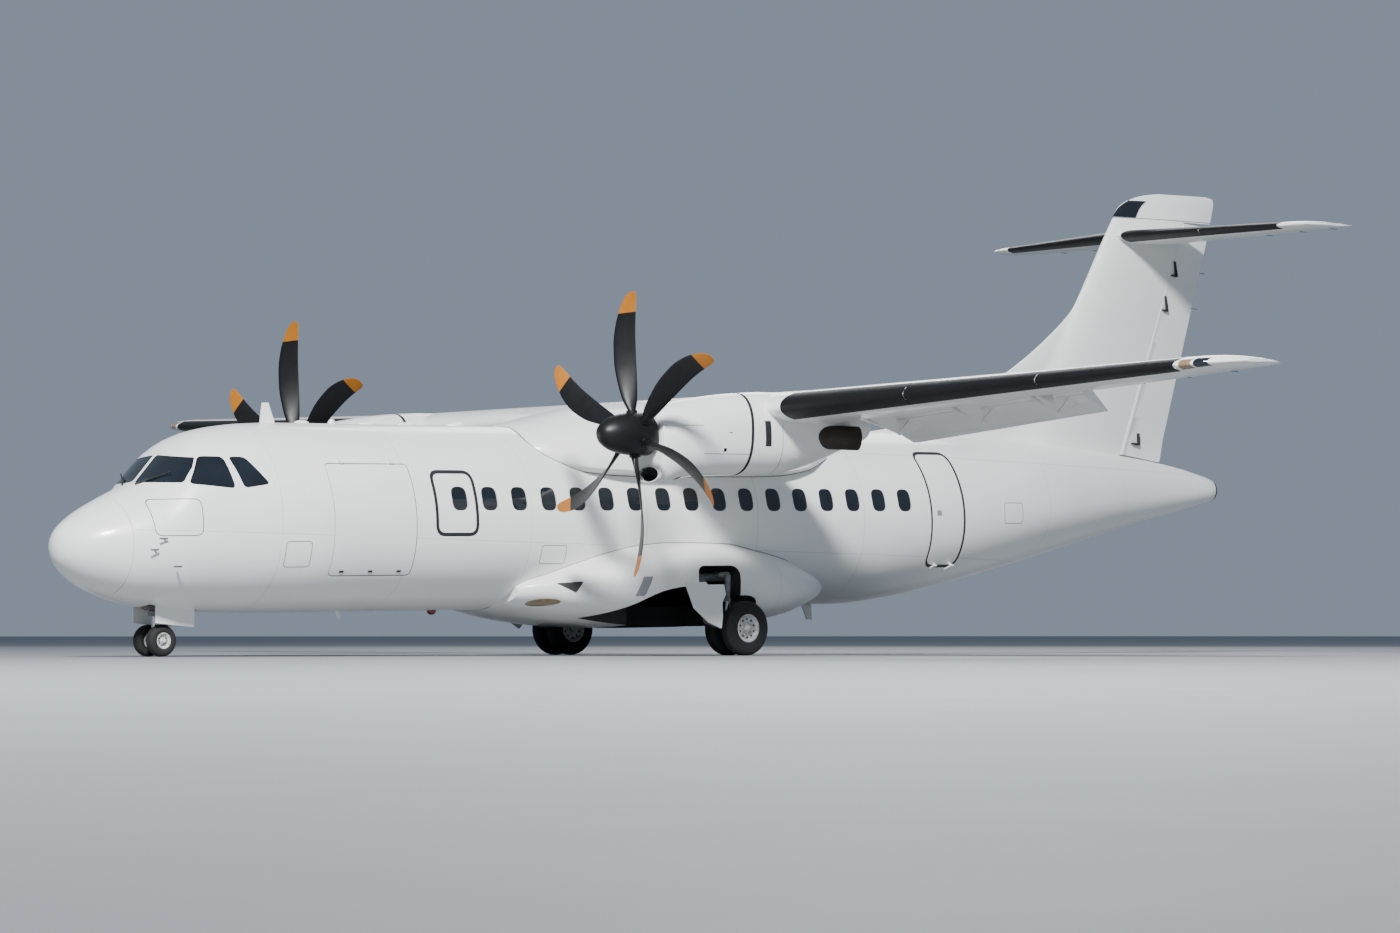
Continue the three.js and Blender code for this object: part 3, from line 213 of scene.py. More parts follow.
world = bpy.data.worlds.new("studio")
world.use_nodes = True
world.node_tree.nodes["Background"].inputs["Color"].default_value = linear("#A3B2C6")
world.node_tree.nodes["Background"].inputs["Strength"].default_value = WORLD_STRENGTH
bpy.context.scene.world = world
for name, place, size, watts in LAMPS:
    lamp = bpy.data.objects.new(name, bpy.data.lights.new(name, "AREA"))
    bpy.context.collection.objects.link(lamp)
    lamp.location = place
    lamp.rotation_euler = (LAMP_AIM - lamp.location).to_track_quat("-Z", "Y").to_euler()
    lamp.data.size, lamp.data.energy = size, watts
    print(name, watts, "W")

# %% [markdown]
# The skin is painted in gloss white polyurethane enamel over aluminium and composite. A sprayed coat has a
# faint orange peel, and wear shows as patches that are a little duller. The seams between the skin panels
# show from a step away only as thin grey lines. They could be cut into the mesh, but they are too fine for
# that, so the paint draws them: rings around the body at every other frame, and ribs across the wing.

# %% White enamel
SEAM_WIDTH = 0.012  # wider than the real 2 mm, so that it shows in the picture
SEAM_SHARE = 0.42
FRAME_PITCH, PANEL_PITCH, RIB_PITCH = 1.066, 0.78, 0.86
NO_SEAMS = 50  # a pitch so long that only the line at the origin is left


def seam_lines(tree, place, axis, pitch):
    """1 on thin lines across an axis, every pitch metres."""
    split = add_node(tree, "ShaderNodeSeparateXYZ", {"Vector": place}).outputs[axis]
    steps = add_node(tree, "ShaderNodeMath", {0: split, 1: pitch}, operation="PINGPONG").outputs[0]
    return add_node(tree, "ShaderNodeMath", {0: steps, 1: SEAM_WIDTH / 2}, operation="LESS_THAN").outputs[0]


def white_enamel(name, pitch_x, pitch_y=0, pitch_z=0):
    """A hard bright gloss on the crown that softens over the duller patches."""
    material, tree, surface = new_material(name, "#F2F2EF", Roughness=0.3, Coat_Weight=0.35,
                                           Coat_Roughness=0.08)
    roughened(tree, surface, noise(tree, 700, detail=5), 0.24, 0.42)
    place = object_pattern(tree, turned=(0, drawn - measured, 0))
    lines = seam_lines(tree, place, 0, pitch_x)
    for axis, pitch in ((1, pitch_y), (2, pitch_z)):
        if pitch:
            more = seam_lines(tree, place, axis, pitch)
            lines = add_node(tree, "ShaderNodeMath", {0: lines, 1: more}, operation="MAXIMUM").outputs[0]
    grime = spread(tree, noise(tree, 1500, object_pattern(tree, (0.35, 1, 1)), 6), -0.35, 0.45)
    inputs = {0: lines, 1: SEAM_SHARE, 2: grime}
    share = add_node(tree, "ShaderNodeMath", inputs, operation="MULTIPLY_ADD", use_clamp=True)
    tint(tree, surface, share.outputs[0], "#F3F3F0", "#B9BAB8")
    bump(tree, surface, noise(tree, 18), 0.4, 0.25)
    return material


body_enamel = white_enamel("gloss_white_enamel_on_body", FRAME_PITCH, 0, PANEL_PITCH)
wing_enamel = white_enamel("gloss_white_enamel_on_wing", NO_SEAMS, RIB_PITCH)
plain_enamel = white_enamel("gloss_white_enamel", NO_SEAMS)
print("seams on the body every", FRAME_PITCH, "m")

# %% [markdown]
# The other finishes follow, glass first. Window glass has no view behind it here, so it is an opaque black
# gloss, which is cheaper than real transparency and looks the same from outside. A comment before each
# finish says what it is and what that gives the eye. Grain finer than the picture can show is drawn
# coarser.

# %% Glass, sealant and lenses
# Heated acrylic and glass: black from outside, with a sharp gloss
window_glass, tree, surface = new_material("tinted_window_glass", "#0A0D11", Roughness=0.06, IOR=1.52,
                                           Coat_Weight=0.5)
tint(tree, surface, noise(tree, 400), "#07090C", "#1A222B")

# Polysulphide sealant and rubber seals: dull black lines around panes and doors
window_rim, tree, surface = new_material("black_sealant", "#1E1F21", Roughness=0.6)
tint(tree, surface, noise(tree, 60), "#191A1C", "#2A2B2D")

# The grey sort of sealant: soft lines that hardly part two white panels
grey_sealant, tree, surface = new_material("grey_sealant", "#8C8E90", Roughness=0.55)
tint(tree, surface, noise(tree, 120), "#84868A", "#9A9C9E")

# Glass over a lamp's dark bowl: warm brown with a bright glint
lamp_glass, tree, surface = new_material("clear_lamp_glass", "#8C7454", Roughness=0.08, Coat_Weight=0.6)
tint(tree, surface, noise(tree, 90), "#A8906C", "#5E4529")

# Red moulded glass: a deep red drop under the belly
red_lens, tree, surface = new_material("red_lens", "#7A1710", Roughness=0.1, Coat_Weight=0.6)
tint(tree, surface, noise(tree, 30), "#8A1C12", "#5C110C")
print("glass and sealant")

# %% [markdown]
# Rubber and composite are the dark, matt parts. What tells them apart is the width of the highlight, so
# each has its own roughness, and noise keeps that from being even.

# %% Rubber and composite
# Moulded neoprene over the air tubes: a matt black band with faint ridges along the span
boot_rubber, tree, surface = new_material("neoprene_boot", "#08090A", Roughness=0.5, Specular_IOR_Level=0.32)
tint(tree, surface, noise(tree, 250), "#070709", "#121214")
roughened(tree, surface, noise(tree, 300, object_pattern(tree, (1, 0.2, 1))), 0.42, 0.58)
bump(tree, surface, noise(tree, 60, object_pattern(tree, (1, 0.05, 1))), 1.0, 0.3)

# Sprayed polyurethane over carbon fibre: satin black with a long soft highlight
blade_black, tree, surface = new_material("black_polyurethane_on_composite", "#0C0C0E", Roughness=0.42,
                                          Specular_IOR_Level=0.35)
tint(tree, surface, noise(tree, 90), "#0A0A0B", "#151517")
roughened(tree, surface, noise(tree, 140), 0.36, 0.5)

# Orange enamel on the blade tips: it warns of the turning disc
tip_orange, tree, surface = new_material("orange_tip_enamel", "#A66305", Roughness=0.5)
tint(tree, surface, noise(tree, 80), "#9C5C03", "#B16C0A")

# Natural rubber worn by the runway: dull, dusty black
tyre_rubber, tree, surface = new_material("worn_tyre_rubber", "#161617", Roughness=0.85)
tint(tree, surface, noise(tree, 35, detail=5), "#121213", "#262524")
bump(tree, surface, noise(tree, 5), 0.6, 0.5)
print("rubber and composite")

# %% [markdown]
# Metal comes bare or painted. Bare metal is set to fully metallic and differs only in polish and stain.
# Painted gear parts are never clean: noise with much detail mixes brake dust and oil into the paint's
# colour, and on the legs the enamel is also darker overall, which is painted shade.

# %% Metal, primer and lining
# Grey enamel on forged steel: streaked with oil and brake dust, and darkened overall with painted shade
gear_enamel_and_shade, tree, surface = new_material("grey_gear_enamel_and_painted_shade", "#7C7F82", Roughness=0.45)
tint(tree, surface, spread(tree, noise(tree, 90, detail=6), -0.4, 1.1), "#84878A", "#302E2B")
bump(tree, surface, noise(tree, 8), 0.3, 0.2)

# White enamel on cast magnesium hubs: greyed by brake dust
hub_enamel, tree, surface = new_material("white_wheel_enamel", "#C9CBCB", Roughness=0.42)
tint(tree, surface, spread(tree, noise(tree, 50, detail=6), -0.4, 1.1), "#D2D4D3", "#5C5A57")

# Hard chrome on the sliding tubes: a mirror with one bright stripe
chrome, tree, surface = new_material("hard_chrome", "#C8CACC", Metallic=1.0, Roughness=0.12)
roughened(tree, surface, noise(tree, 30), 0.08, 0.2)

# Rolled steel in the exhaust: browned and dulled by heat
stained_steel, tree, surface = new_material("heat_stained_steel", "#4A433D", Metallic=1.0, Roughness=0.5)
tint(tree, surface, noise(tree, 220, detail=5), "#5B5651", "#2E2620")

# Polished aluminium on probes and bolts: small bright glints
bare_aluminium, tree, surface = new_material("polished_aluminium", "#B8BABC", Metallic=1.0, Roughness=0.28)
roughened(tree, surface, noise(tree, 60), 0.2, 0.4)

# Painted shade in wheel wells, slots, intakes, inlets and holes: a dark grey that swallows the light
painted_shade, tree, surface = new_material("dark_grey_painted_shade", "#2B2D2E", Roughness=0.7)
tint(tree, surface, noise(tree, 200, detail=5), "#232526", "#3C3D3C")

# Moulded wall panels behind the doors: plain light grey
cabin_lining, tree, surface = new_material("grey_cabin_lining", "#8F9295", Roughness=0.7)
tint(tree, surface, noise(tree, 300), "#868A8E", "#9C9FA1")
print(len(bpy.data.materials), "materials")

# %% [markdown]
# Now for the shapes. Blender's own tools do the work, so the first helpers only select a piece, run steps
# of edit mode on it, and lay a grid through rows of points. A grid rolled into a ring at each row is a
# tube; merging its seam and filling its two ends gives a closed skin. Typing faces by hand would do it too,
# but a grid can't miss one.

# %% Helpers for grids and tubes
MM = 0.001


def deselect():
    bpy.ops.object.select_all(action="DESELECT")


def activate(piece):
    deselect()
    piece.select_set(True)
    bpy.context.view_layer.objects.active = piece


def select_all():
    bpy.ops.mesh.select_all(action="SELECT")


def merge():
    bpy.ops.mesh.remove_doubles(threshold=1e-5)


def outward():
    bpy.ops.mesh.normals_make_consistent(inside=False)


def edit(piece, *steps):
    """Run steps of edit mode on all of a piece."""
    activate(piece)
    bpy.ops.object.mode_set(mode="EDIT")
    select_all()
    for step in steps:
        step()
    bpy.ops.object.mode_set(mode="OBJECT")


def sheet_of(name, rows):
    """A grid laid through rows of equally many points, open all round."""
    deselect()
    bpy.ops.mesh.primitive_grid_add(x_subdivisions=len(rows[0]) - 1, y_subdivisions=len(rows) - 1)
    piece = bpy.context.object
    piece.name = name
    piece.data.vertices.foreach_set("co", [c for row in rows for point in row for c in point])
    piece.data.update()
    return piece


def rolled(name, rings, closed_along=False):
    """A grid rolled into a tube through rings of equally many points."""
    rings = [[*ring, ring[0]] for ring in rings]
    if closed_along:
        rings.append(rings[0])
    piece = sheet_of(name, rings)
    close = [] if closed_along else [lambda: bpy.ops.mesh.fill_holes(sides=0)]
    edit(piece, merge, *close, select_all, outward)
    return piece


print("helpers for grids")

# %% [markdown]
# Doors, windows and bays are plain outlines seen from one side. A prism through such an outline is the
# cutter for them all. Outlines are lists of points, and one function rounds the corners of any of them.

# %% Helpers for outlines, prisms and bars
def rounded(points, radius, steps=5):
    """An outline with its corners rounded."""
    result = []
    for i, point in enumerate(points):
        here = Vector(point)
        before, after = Vector(points[i - 1]) - here, Vector(points[(i + 1) % len(points)]) - here
        reach = min(radius, before.length / 2.1, after.length / 2.1)
        start, end = here + before.normalized() * reach, here + after.normalized() * reach
        for k in range(steps + 1):
            t = k / steps
            result.append(tuple(start * (1 - t) ** 2 + here * 2 * t * (1 - t) + end * t * t))
    return result


def rectangle(x, z, corner=0.0, grow=0.0):
    """The outline of a rectangle, grown all round, with its corners rounded."""
    (x0, x1), (z0, z1) = (x[0] - grow, x[1] + grow), (z[0] - grow, z[1] + grow)
    points = [(x0, z0), (x1, z0), (x1, z1), (x0, z1)]
    return rounded(points, corner + grow) if corner else points


def disc(x, z, half_x, half_z, count=28):
    """The outline of an ellipse."""
    turns = [2 * math.pi * i / count for i in range(count)]
    return [(x + half_x * math.cos(a), z + half_z * math.sin(a)) for a in turns]


def prism(name, outline, axis, low, high):
    """An outline moved through from low to high: axis z takes (x, y), x takes (y, z), y takes (x, z)."""
    spots = {"x": lambda u, v: (low, u, v), "y": lambda u, v: (u, low, v), "z": lambda u, v: (u, v, low)}
    ways = {"x": (high - low, 0, 0), "y": (0, high - low, 0), "z": (0, 0, high - low)}
    deselect()
    bpy.ops.mesh.primitive_circle_add(vertices=len(outline), fill_type="NGON")
    piece = bpy.context.object
    piece.name = name
    for vertex, (u, v) in zip(piece.data.vertices, outline):
        vertex.co = spots[axis](u, v)
    edit(piece, lambda: bpy.ops.mesh.extrude_region_move(TRANSFORM_OT_translate={"value": ways[axis]}),
         select_all, outward)
    return piece


def block(name, x, y, z):
    return prism(name, rectangle(x, y), "z", *z)


def bar(name, start, end, radius, end_radius=None, sides=24):
    """A round bar between two points, of one radius or tapered."""
    start, end = Vector(start), Vector(end)
    end_radius = radius if end_radius is None else end_radius
    deselect()
    bpy.ops.mesh.primitive_cone_add(vertices=sides, radius1=radius, radius2=end_radius,
                                    depth=(end - start).length, location=(start + end) / 2,
                                    rotation=(end - start).to_track_quat("Z", "Y").to_euler())
    piece = bpy.context.object
    piece.name = name
    bpy.ops.object.transform_apply()
    return piece


print("helpers for outlines")

# %% [markdown]
# The last helpers cut pieces with each other, copy and mirror them, and finish them. To finish a piece
# means to lay it from stations into the frame, shade it smooth up to an angle, tell the frame which body it
# rides on, and hide the CAD nodes it stands for.

# %% Helpers for cutting and finishing
def drop(piece):
    bpy.data.objects.remove(piece, do_unlink=True)


def twin(piece, name, matrix=None):
    """A copy with its own mesh, moved or mirrored by a matrix."""
    copy = bpy.data.objects.new(name, piece.data.copy())
    bpy.context.collection.objects.link(copy)
    if matrix is not None:
        copy.data.transform(matrix)
        if matrix.determinant() < 0:
            copy.data.flip_normals()
    return copy


def combine(piece, other, operation="DIFFERENCE", keep=False):
    """Cut, join or overlap a piece with another, which is then dropped."""
    activate(piece)
    modifier = piece.modifiers.new("combine", "BOOLEAN")
    modifier.object, modifier.operation, modifier.solver = other, operation, "EXACT"
    modifier.material_mode = "TRANSFER"
    bpy.ops.object.modifier_apply(modifier=modifier.name)
    if not keep:
        drop(other)
    return piece


def together(name, pieces):
    """Join pieces into one object."""
    deselect()
    for piece in pieces:
        piece.select_set(True)
    bpy.context.view_layer.objects.active = pieces[0]
    if len(pieces) > 1:
        bpy.ops.object.join()
    pieces[0].name = name
    return pieces[0]


def both_sides(piece):
    return together(piece.name, [piece, twin(piece, "other_side", MIRROR)])


def painted(piece, *materials):
    piece.data.materials.clear()
    for material in materials:
        piece.data.materials.append(material)
    return piece


def bevelled(piece, width, segments=2, angle=35):
    """Round the edges that are sharper than an angle."""
    activate(piece)
    modifier = piece.modifiers.new("bevel", "BEVEL")
    modifier.width, modifier.segments, modifier.limit_method = width, segments, "ANGLE"
    modifier.angle_limit = math.radians(angle)
    bpy.ops.object.modifier_apply(modifier=modifier.name)
    return piece


def finished(piece, body, slot, *nodes, angle=30, in_stations=True):
    """Lay a piece from stations into the frame, smooth it, and let it ride on its body."""
    if in_stations:
        piece.data.transform(STATIONS)
    piece.data.update()
    activate(piece)
    bpy.ops.object.shade_smooth_by_angle(angle=math.radians(angle))
    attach(piece, body)
    if nodes:
        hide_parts(*nodes)
    return piece


print("helpers for cutting and finishing")

# %% [markdown]
# Every curved skin of the aircraft is a stack of cross-sections. A table lists a few of them with their
# crown, keel, width and fullness, and the sections between lie on smooth curves. The tables are those of
# the CAD solids, but the rings have many more points, so that the silhouette is round.

# %% Sections of the skins
# In mm: station, crown, keel, half width, height of the widest point, then the fullness above and below it. A
# fullness of 2 is an ellipse.
HULL = [
    (0, 15, -15, 18, 0, 2, 2), (35, 170, -165, 190, 0, 2, 2), (120, 290, -290, 340, 0, 2, 2),
    (260, 400, -420, 490, 5, 2, 2), (470, 530, -555, 640, 15, 2, 2), (750, 665, -670, 790, 40, 2, 2.05),
    (1000, 775, -750, 900, 70, 2.05, 2.1), (1260, 885, -808, 990, 100, 2.15, 2.1),
    (1450, 1075, -840, 1050, 125, 2.3, 2.1), (1630, 1262, -862, 1100, 150, 2.4, 2.1),
    (1800, 1400, -878, 1142, 165, 2.4, 2.1), (1980, 1510, -890, 1185, 185, 2.35, 2.1),
    (2250, 1610, -902, 1240, 210, 2.25, 2.15), (2600, 1678, -914, 1305, 240, 2.15, 2.2),
    (3000, 1718, -922, 1360, 270, 2.05, 2.25), (3600, 1740, -930, 1415, 300, 2, 2.3),
    (4300, 1742.5, -930, 1432.5, 310, 2, 2.3), (13900, 1742.5, -930, 1432.5, 310, 2, 2.3),
    (14800, 1742, -862, 1418, 335, 2, 2.25), (15700, 1735, -730, 1366, 375, 2, 2.2),
    (16700, 1712, -545, 1262, 435, 2, 2.1), (17900, 1655, -300, 1080, 530, 2, 2),
    (19200, 1560, -15, 830, 640, 2, 2), (20500, 1420, 270, 545, 740, 2, 2),
    (21600, 1265, 500, 325, 810, 2, 2), (22300, 1120, 640, 205, 850, 2, 2),
    (22560, 1045, 695, 150, 862, 2, 2), (22670, 960, 780, 70, 868, 2, 2),
]
GEAR_FAIRING = [
    (7050, -480, -900, 1130, -640, 2, 2.4), (7400, -330, -985, 1400, -600, 2, 2.6),
    (7900, -150, -1085, 1660, -580, 2.1, 2.8), (8500, 20, -1165, 1880, -560, 2.2, 3),
    (9100, 130, -1215, 2000, -560, 2.3, 3.2), (9700, 150, -1235, 2050, -560, 2.4, 3.2),
    (10700, 130, -1235, 2050, -570, 2.4, 3.2), (11300, 30, -1215, 1980, -580, 2.3, 3),
    (11900, -100, -1150, 1840, -590, 2.2, 2.8), (12350, -260, -1050, 1600, -600, 2, 2.6),
    (12700, -380, -950, 1330, -640, 2, 2.4),
]
WING_FAIRING = [
    (7450, 1660, 1100, 820, 1380, 2, 2), (7800, 1800, 1000, 1130, 1250, 2, 2),
    (8250, 1900, 950, 1370, 1120, 2.2, 2), (8800, 2010, 930, 1480, 1080, 2.4, 2),
    (9400, 2095, 920, 1520, 1070, 2.5, 2), (10200, 2112, 920, 1510, 1070, 2.5, 2),
    (10700, 2105, 920, 1464, 1070, 2.5, 2), (11300, 2060, 925, 1464, 1070, 2.4, 2),
    (11900, 1970, 940, 1435, 1080, 2.3, 2), (12500, 1840, 1000, 1325, 1150, 2.1, 2),
    (13050, 1700, 1150, 1080, 1300, 2, 2),
]
NACELLE = [
    (7110, 1800, 815, 330, 1400, 2, 2.2), (7190, 1850, 775, 380, 1400, 2, 2.3),
    (7400, 1915, 830, 430, 1400, 2.1, 2.4), (7800, 1990, 895, 458, 1420, 2.2, 2.4),
    (8600, 2080, 920, 470, 1450, 2.3, 2.4), (9200, 2108, 930, 465, 1460, 2.3, 2.4),
    (9700, 2095, 1010, 445, 1480, 2.2, 2.3), (10150, 2030, 1130, 410, 1530, 2, 2.2),
    (10650, 1900, 1300, 330, 1600, 2, 2), (11100, 1790, 1450, 210, 1630, 2, 2),
]
print("sections", len(HULL) + len(GEAR_FAIRING) + len(WING_FAIRING) + len(NACELLE))

# %% [markdown]
# Straight lines between the listed sections would show as facets. A curve through them must not swing past
# a listed size either, or the straight cabin would bulge. So each slope is the harmonic mean of its
# neighbours, and none where the size turns back. The square root of the station spreads out the blunt nose,
# where the sizes change fastest.

# %% Rings from the tables
def eased(rows, stations):
    """Rows of a table at any stations, on smooth curves that never overshoot."""
    along = [math.sqrt(row[0] - rows[0][0] + 1) for row in rows]
    columns = list(zip(*rows))[1:]
    slopes = []
    for values in columns:
        steps = [(values[i + 1] - values[i]) / (along[i + 1] - along[i]) for i in range(len(along) - 1)]
        inner = [0 if a * b <= 0 else 2 * a * b / (a + b) for a, b in zip(steps, steps[1:])]
        slopes.append([steps[0], *inner, steps[-1]])
    result = []
    for station in stations:
        t = math.sqrt(station - rows[0][0] + 1)
        i = max(0, min(len(rows) - 2, sum(1 for a in along if a <= t) - 1))
        gap = along[i + 1] - along[i]
        s = (t - along[i]) / gap
        row = [station]
        for values, tangents in zip(columns, slopes):
            row.append((1 + 2 * s) * (1 - s) ** 2 * values[i] + s * (1 - s) ** 2 * gap * tangents[i]
                       + s * s * (3 - 2 * s) * values[i + 1] + s * s * (s - 1) * gap * tangents[i + 1])
        result.append(row)
    return result


def ring_of(row, count, inset=0.0):
    """Points of one section: a superellipse, fuller or leaner above and below its widest point."""
    x, crown, keel, half, middle, above, below = row
    points = []
    for i in range(count):
        up, out = math.cos(2 * math.pi * i / count), math.sin(2 * math.pi * i / count)
        power = 2 / (above if up > 0 else below)
        reach = (crown - middle if up > 0 else middle - keel) - inset
        points.append((x * MM, math.copysign(abs(out) ** power, out) * (half - inset) * MM,
                       (middle + math.copysign(abs(up) ** power, up) * reach) * MM))
    return points


print("crown at the cockpit", round(eased(HULL, [1700])[0][1]), "mm")

# %% [markdown]
# The fuselage is riveted from aluminium sheet over frames. Here it starts as one closed skin. Its rings lie
# close together at the nose and tail, where it curves, and half a metre apart along the straight cabin.

# %% Hull
HULL_STATIONS = [0, 4, 12, 24, 40, 60, 90, 130, 180, 240, 310, 390, 480, 580, 700, 820, 950, 1080, 1200, 1300,
                 *range(1400, 3700, 100), *range(3900, 14000, 500), *range(14050, 22500, 260), 22540, 22610,
                 22670]


def hull_skin(name, inset=0.0, low=-1, high=30000, count=72):
    """The hull's skin, or one some millimetres inside it, between two stations."""
    rows = eased(HULL, [s for s in HULL_STATIONS if low <= s <= high])
    return rolled(name, [ring_of(row, count, inset) for row in rows])


def table_skin(name, table, inset=0.0, count=56, step=150):
    """The skin of any other table, with its sections evenly spaced."""
    first, last = table[0][0], table[-1][0]
    pieces = max(1, round((last - first) / step))
    stations = [first + (last - first) * i / pieces for i in range(pieces + 1)]
    return rolled(name, [ring_of(row, count, inset) for row in eased(table, stations)])


hull = hull_skin("hull")
print("hull", len(hull.data.polygons), "faces")

# %% [markdown]
# The radome, the doors and the window panes are parts of the same surface, so they are cut from copies of
# it: a prism through the skin gives the outline, and a second skin drawn a little inside gives the
# thickness. Drawing each piece on its own would leave steps where it meets the body. The same prisms, a
# little larger, cut the openings.

# %% Skins at several depths
# name, depth below the skin in mm (negative is proud of it), from and to station, what shows where it is bare
DEPTHS = [
    ("thin", 5, 900, 16500, None),
    ("groove", 9, 600, 16500, window_rim),
    ("pane", 16, 900, 16500, window_rim),
    ("glass", 26, 900, 3800, window_rim),
    ("door", 70, 3000, 16500, None),
    ("cabin", 68, 3000, 17900, cabin_lining),
    ("proud", -6, 600, 16500, None),
]
under = {}
for name, depth, low, high, shows in DEPTHS:
    under[name] = hull_skin(f"hull_{name}", depth, low, high)
    if shows:
        painted(under[name], shows)
painted(hull, body_enamel)
fuselage = twin(hull, "fuselage_skin")
print(len(under), "skins at other depths")

# %% [markdown]
# The radome is the nose cone in front of the weather radar, moulded in fibreglass so that radio waves pass.
# It is bolted on, and the joint shows as a thin dark ring. It is simply the front of the hull, with a gap
# left behind it.

# %% Radome
RADOME_SEAM, RADOME_GAP = 0.760, 0.008


def ahead_of(x):
    return block("ahead", (-0.2, x), (-2, 2), (-2, 3))


radome = combine(twin(hull, "radome_skin"), ahead_of(RADOME_SEAM), "INTERSECT")
combine(fuselage, ahead_of(RADOME_SEAM + RADOME_GAP))
finished(painted(radome, plain_enamel), "airframe", "white_paint", "radome")
print("radome", len(radome.data.polygons), "faces")

# %% [markdown]
# The two doors on the left open: the passenger door behind folds down on its sill, and the cargo door ahead
# swings up. Each is a leaf as thick as the wall, with a dark rubber seal around it that shows as a line in
# the photograph. The leaf is cut from the hull, so that it closes flush. Behind it the space is cut out
# too, for when it is open.

# %% Doors
# In metres: x and z from and to, corner, width of the seal, the space behind (x and y from and to), the hinge
# (y, z), the ends of the straps on body and leaf (y, z), and the stations of the knuckles.
DOORS = {
    "passenger": dict(x=(14.940, 15.620), z=(-0.335, 1.370), corner=0.13, seal=0.044,
                      space=((14.86, 15.70), (-1.4, -0.5)), hinge=(-1.250, -0.352), body=(-0.950, -0.460),
                      leaf=(-1.085, -0.285), knuckles=(15.080, 15.440)),
    "cargo": dict(x=(3.660, 5.045), z=(-0.420, 1.130), corner=0.07, seal=0.010,
                  space=((3.56, 5.145), (-1.4, 0.3)), hinge=(-1.186, 1.152), body=(-1.100, 1.200),
                  leaf=(-1.140, 1.085), knuckles=(3.900, 4.760)),
}
REAR_CABIN = ((13.3, 17.3), (-1.05, 1.05))  # x and y from and to
LEFT_WALL = (-1.6, -0.7)  # y from and to
SEAL_PLAY, RECESS_PLAY, KNUCKLE_PLAY = 0.004, 0.001, 0.0003
KNUCKLE_RADIUS, KNUCKLE_WIDTH, STRAP_HALF = 0.015, 0.030, 0.011


def door_prism(door, grow):
    return prism("door_prism", rectangle(door["x"], door["z"], door["corner"], grow), "y", *LEFT_WALL)


def knuckle(hinge, end, x):
    """A hinge's knuckle and the strap that holds it."""
    (hy, hz), (y, z) = hinge, end
    across = Vector((z - hz, hy - y)).normalized() * STRAP_HALF
    outline = [(hy + across.x, hz + across.y), (hy - across.x, hz - across.y), (y - across.x, z - across.y),
               (y + across.x, z + across.y)]
    strap = prism("strap", outline, "x", x, x + KNUCKLE_WIDTH)
    return [strap, bar("knuckle", (x, hy, hz), (x + KNUCKLE_WIDTH, hy, hz), KNUCKLE_RADIUS, sides=16)]


body_knuckles = []
for kind, door in DOORS.items():
    leaf = combine(combine(door_prism(door, 0), hull, "INTERSECT", keep=True), under["door"], keep=True)
    painted(leaf, plain_enamel)
    seal = combine(door_prism(door, door["seal"]), door_prism(door, SEAL_PLAY))
    combine(combine(seal, under["thin"], "INTERSECT", keep=True), under["door"], keep=True)
    combine(fuselage, painted(door_prism(door, door["seal"] + RECESS_PLAY), window_rim))
    space = painted(block("space", *door["space"], door["z"]), cabin_lining)
    combine(fuselage, combine(space, under["cabin"], "INTERSECT", keep=True))
    for x in door["knuckles"]:
        body_knuckles += knuckle(door["hinge"], door["body"], x)
        on_leaf = knuckle(door["hinge"], door["leaf"], x + KNUCKLE_WIDTH + KNUCKLE_PLAY)
        leaf = together("leaf", [leaf, *(painted(part, plain_enamel) for part in on_leaf)])
    leaf.name = f"{kind}_door_leaf"
    finished(leaf, f"{kind}_door", "white_paint", f"{kind}_door")
    if kind == "passenger":
        rear_cabin = painted(block("rear_cabin", *REAR_CABIN, door["z"]), cabin_lining)
        combine(fuselage, combine(rear_cabin, under["cabin"], "INTERSECT", keep=True))
    seal.name = f"{kind}_door_seal"
    finished(painted(seal, window_rim), "airframe", "black_composite")
    print(kind, "door", len(leaf.data.polygons), "faces")
finished(painted(together("door_knuckles", body_knuckles), plain_enamel), "airframe", "white_paint")

# %% [markdown]
# The cockpit has six panes of thick heated glass: two windscreens and two side panes on each side, in white
# posts. From outside the glass looks black with a sharp gloss. The panes are set a few millimetres below
# the skin, in holes whose edges show as black sealant. One side is made and mirrored.

# %% Cockpit panes
WINDSCREEN = rounded([(0.045, 0.895), (0.835, 0.870), (0.760, 1.205), (0.045, 1.262)], 0.045)  # y, z
POST = [(1.0, 0.7), (1.451, 0.7), (1.919, 1.4), (1.0, 1.4)]  # x, z: the windscreen ends at its slanted side
SIDE_PANES = {
    "side_window": rounded([(1.600, 0.855), (2.180, 0.790), (2.130, 1.215), (1.845, 1.222)], 0.06),
    "rear_window": rounded([(2.325, 0.800), (2.700, 0.850), (2.440, 1.210), (2.225, 1.215)], 0.06),
}
FROM_AHEAD, ACROSS, FROM_SIDE = (1.0, 1.85), (-0.1, 1.4), (0.62, 1.4)
SEALANT_WIDTH = 0.012


def grown(outline, by):
    """An outline with its points moved away from its middle."""
    middle = sum((Vector(point) for point in outline), Vector((0, 0))) / len(outline)
    arms = [Vector(point) - middle for point in outline]
    return [tuple(middle + arm * (1 + by / arm.length)) for arm in arms]


def pane_prism(kind, by):
    """A prism through one pane of the right side."""
    if kind != "windscreen":
        return prism(kind, grown(SIDE_PANES[kind], by), "y", *FROM_SIDE)
    screen = prism(kind, grown(WINDSCREEN, by), "x", *FROM_AHEAD)
    return combine(screen, prism("post", grown(POST, by), "y", *ACROSS), "INTERSECT")


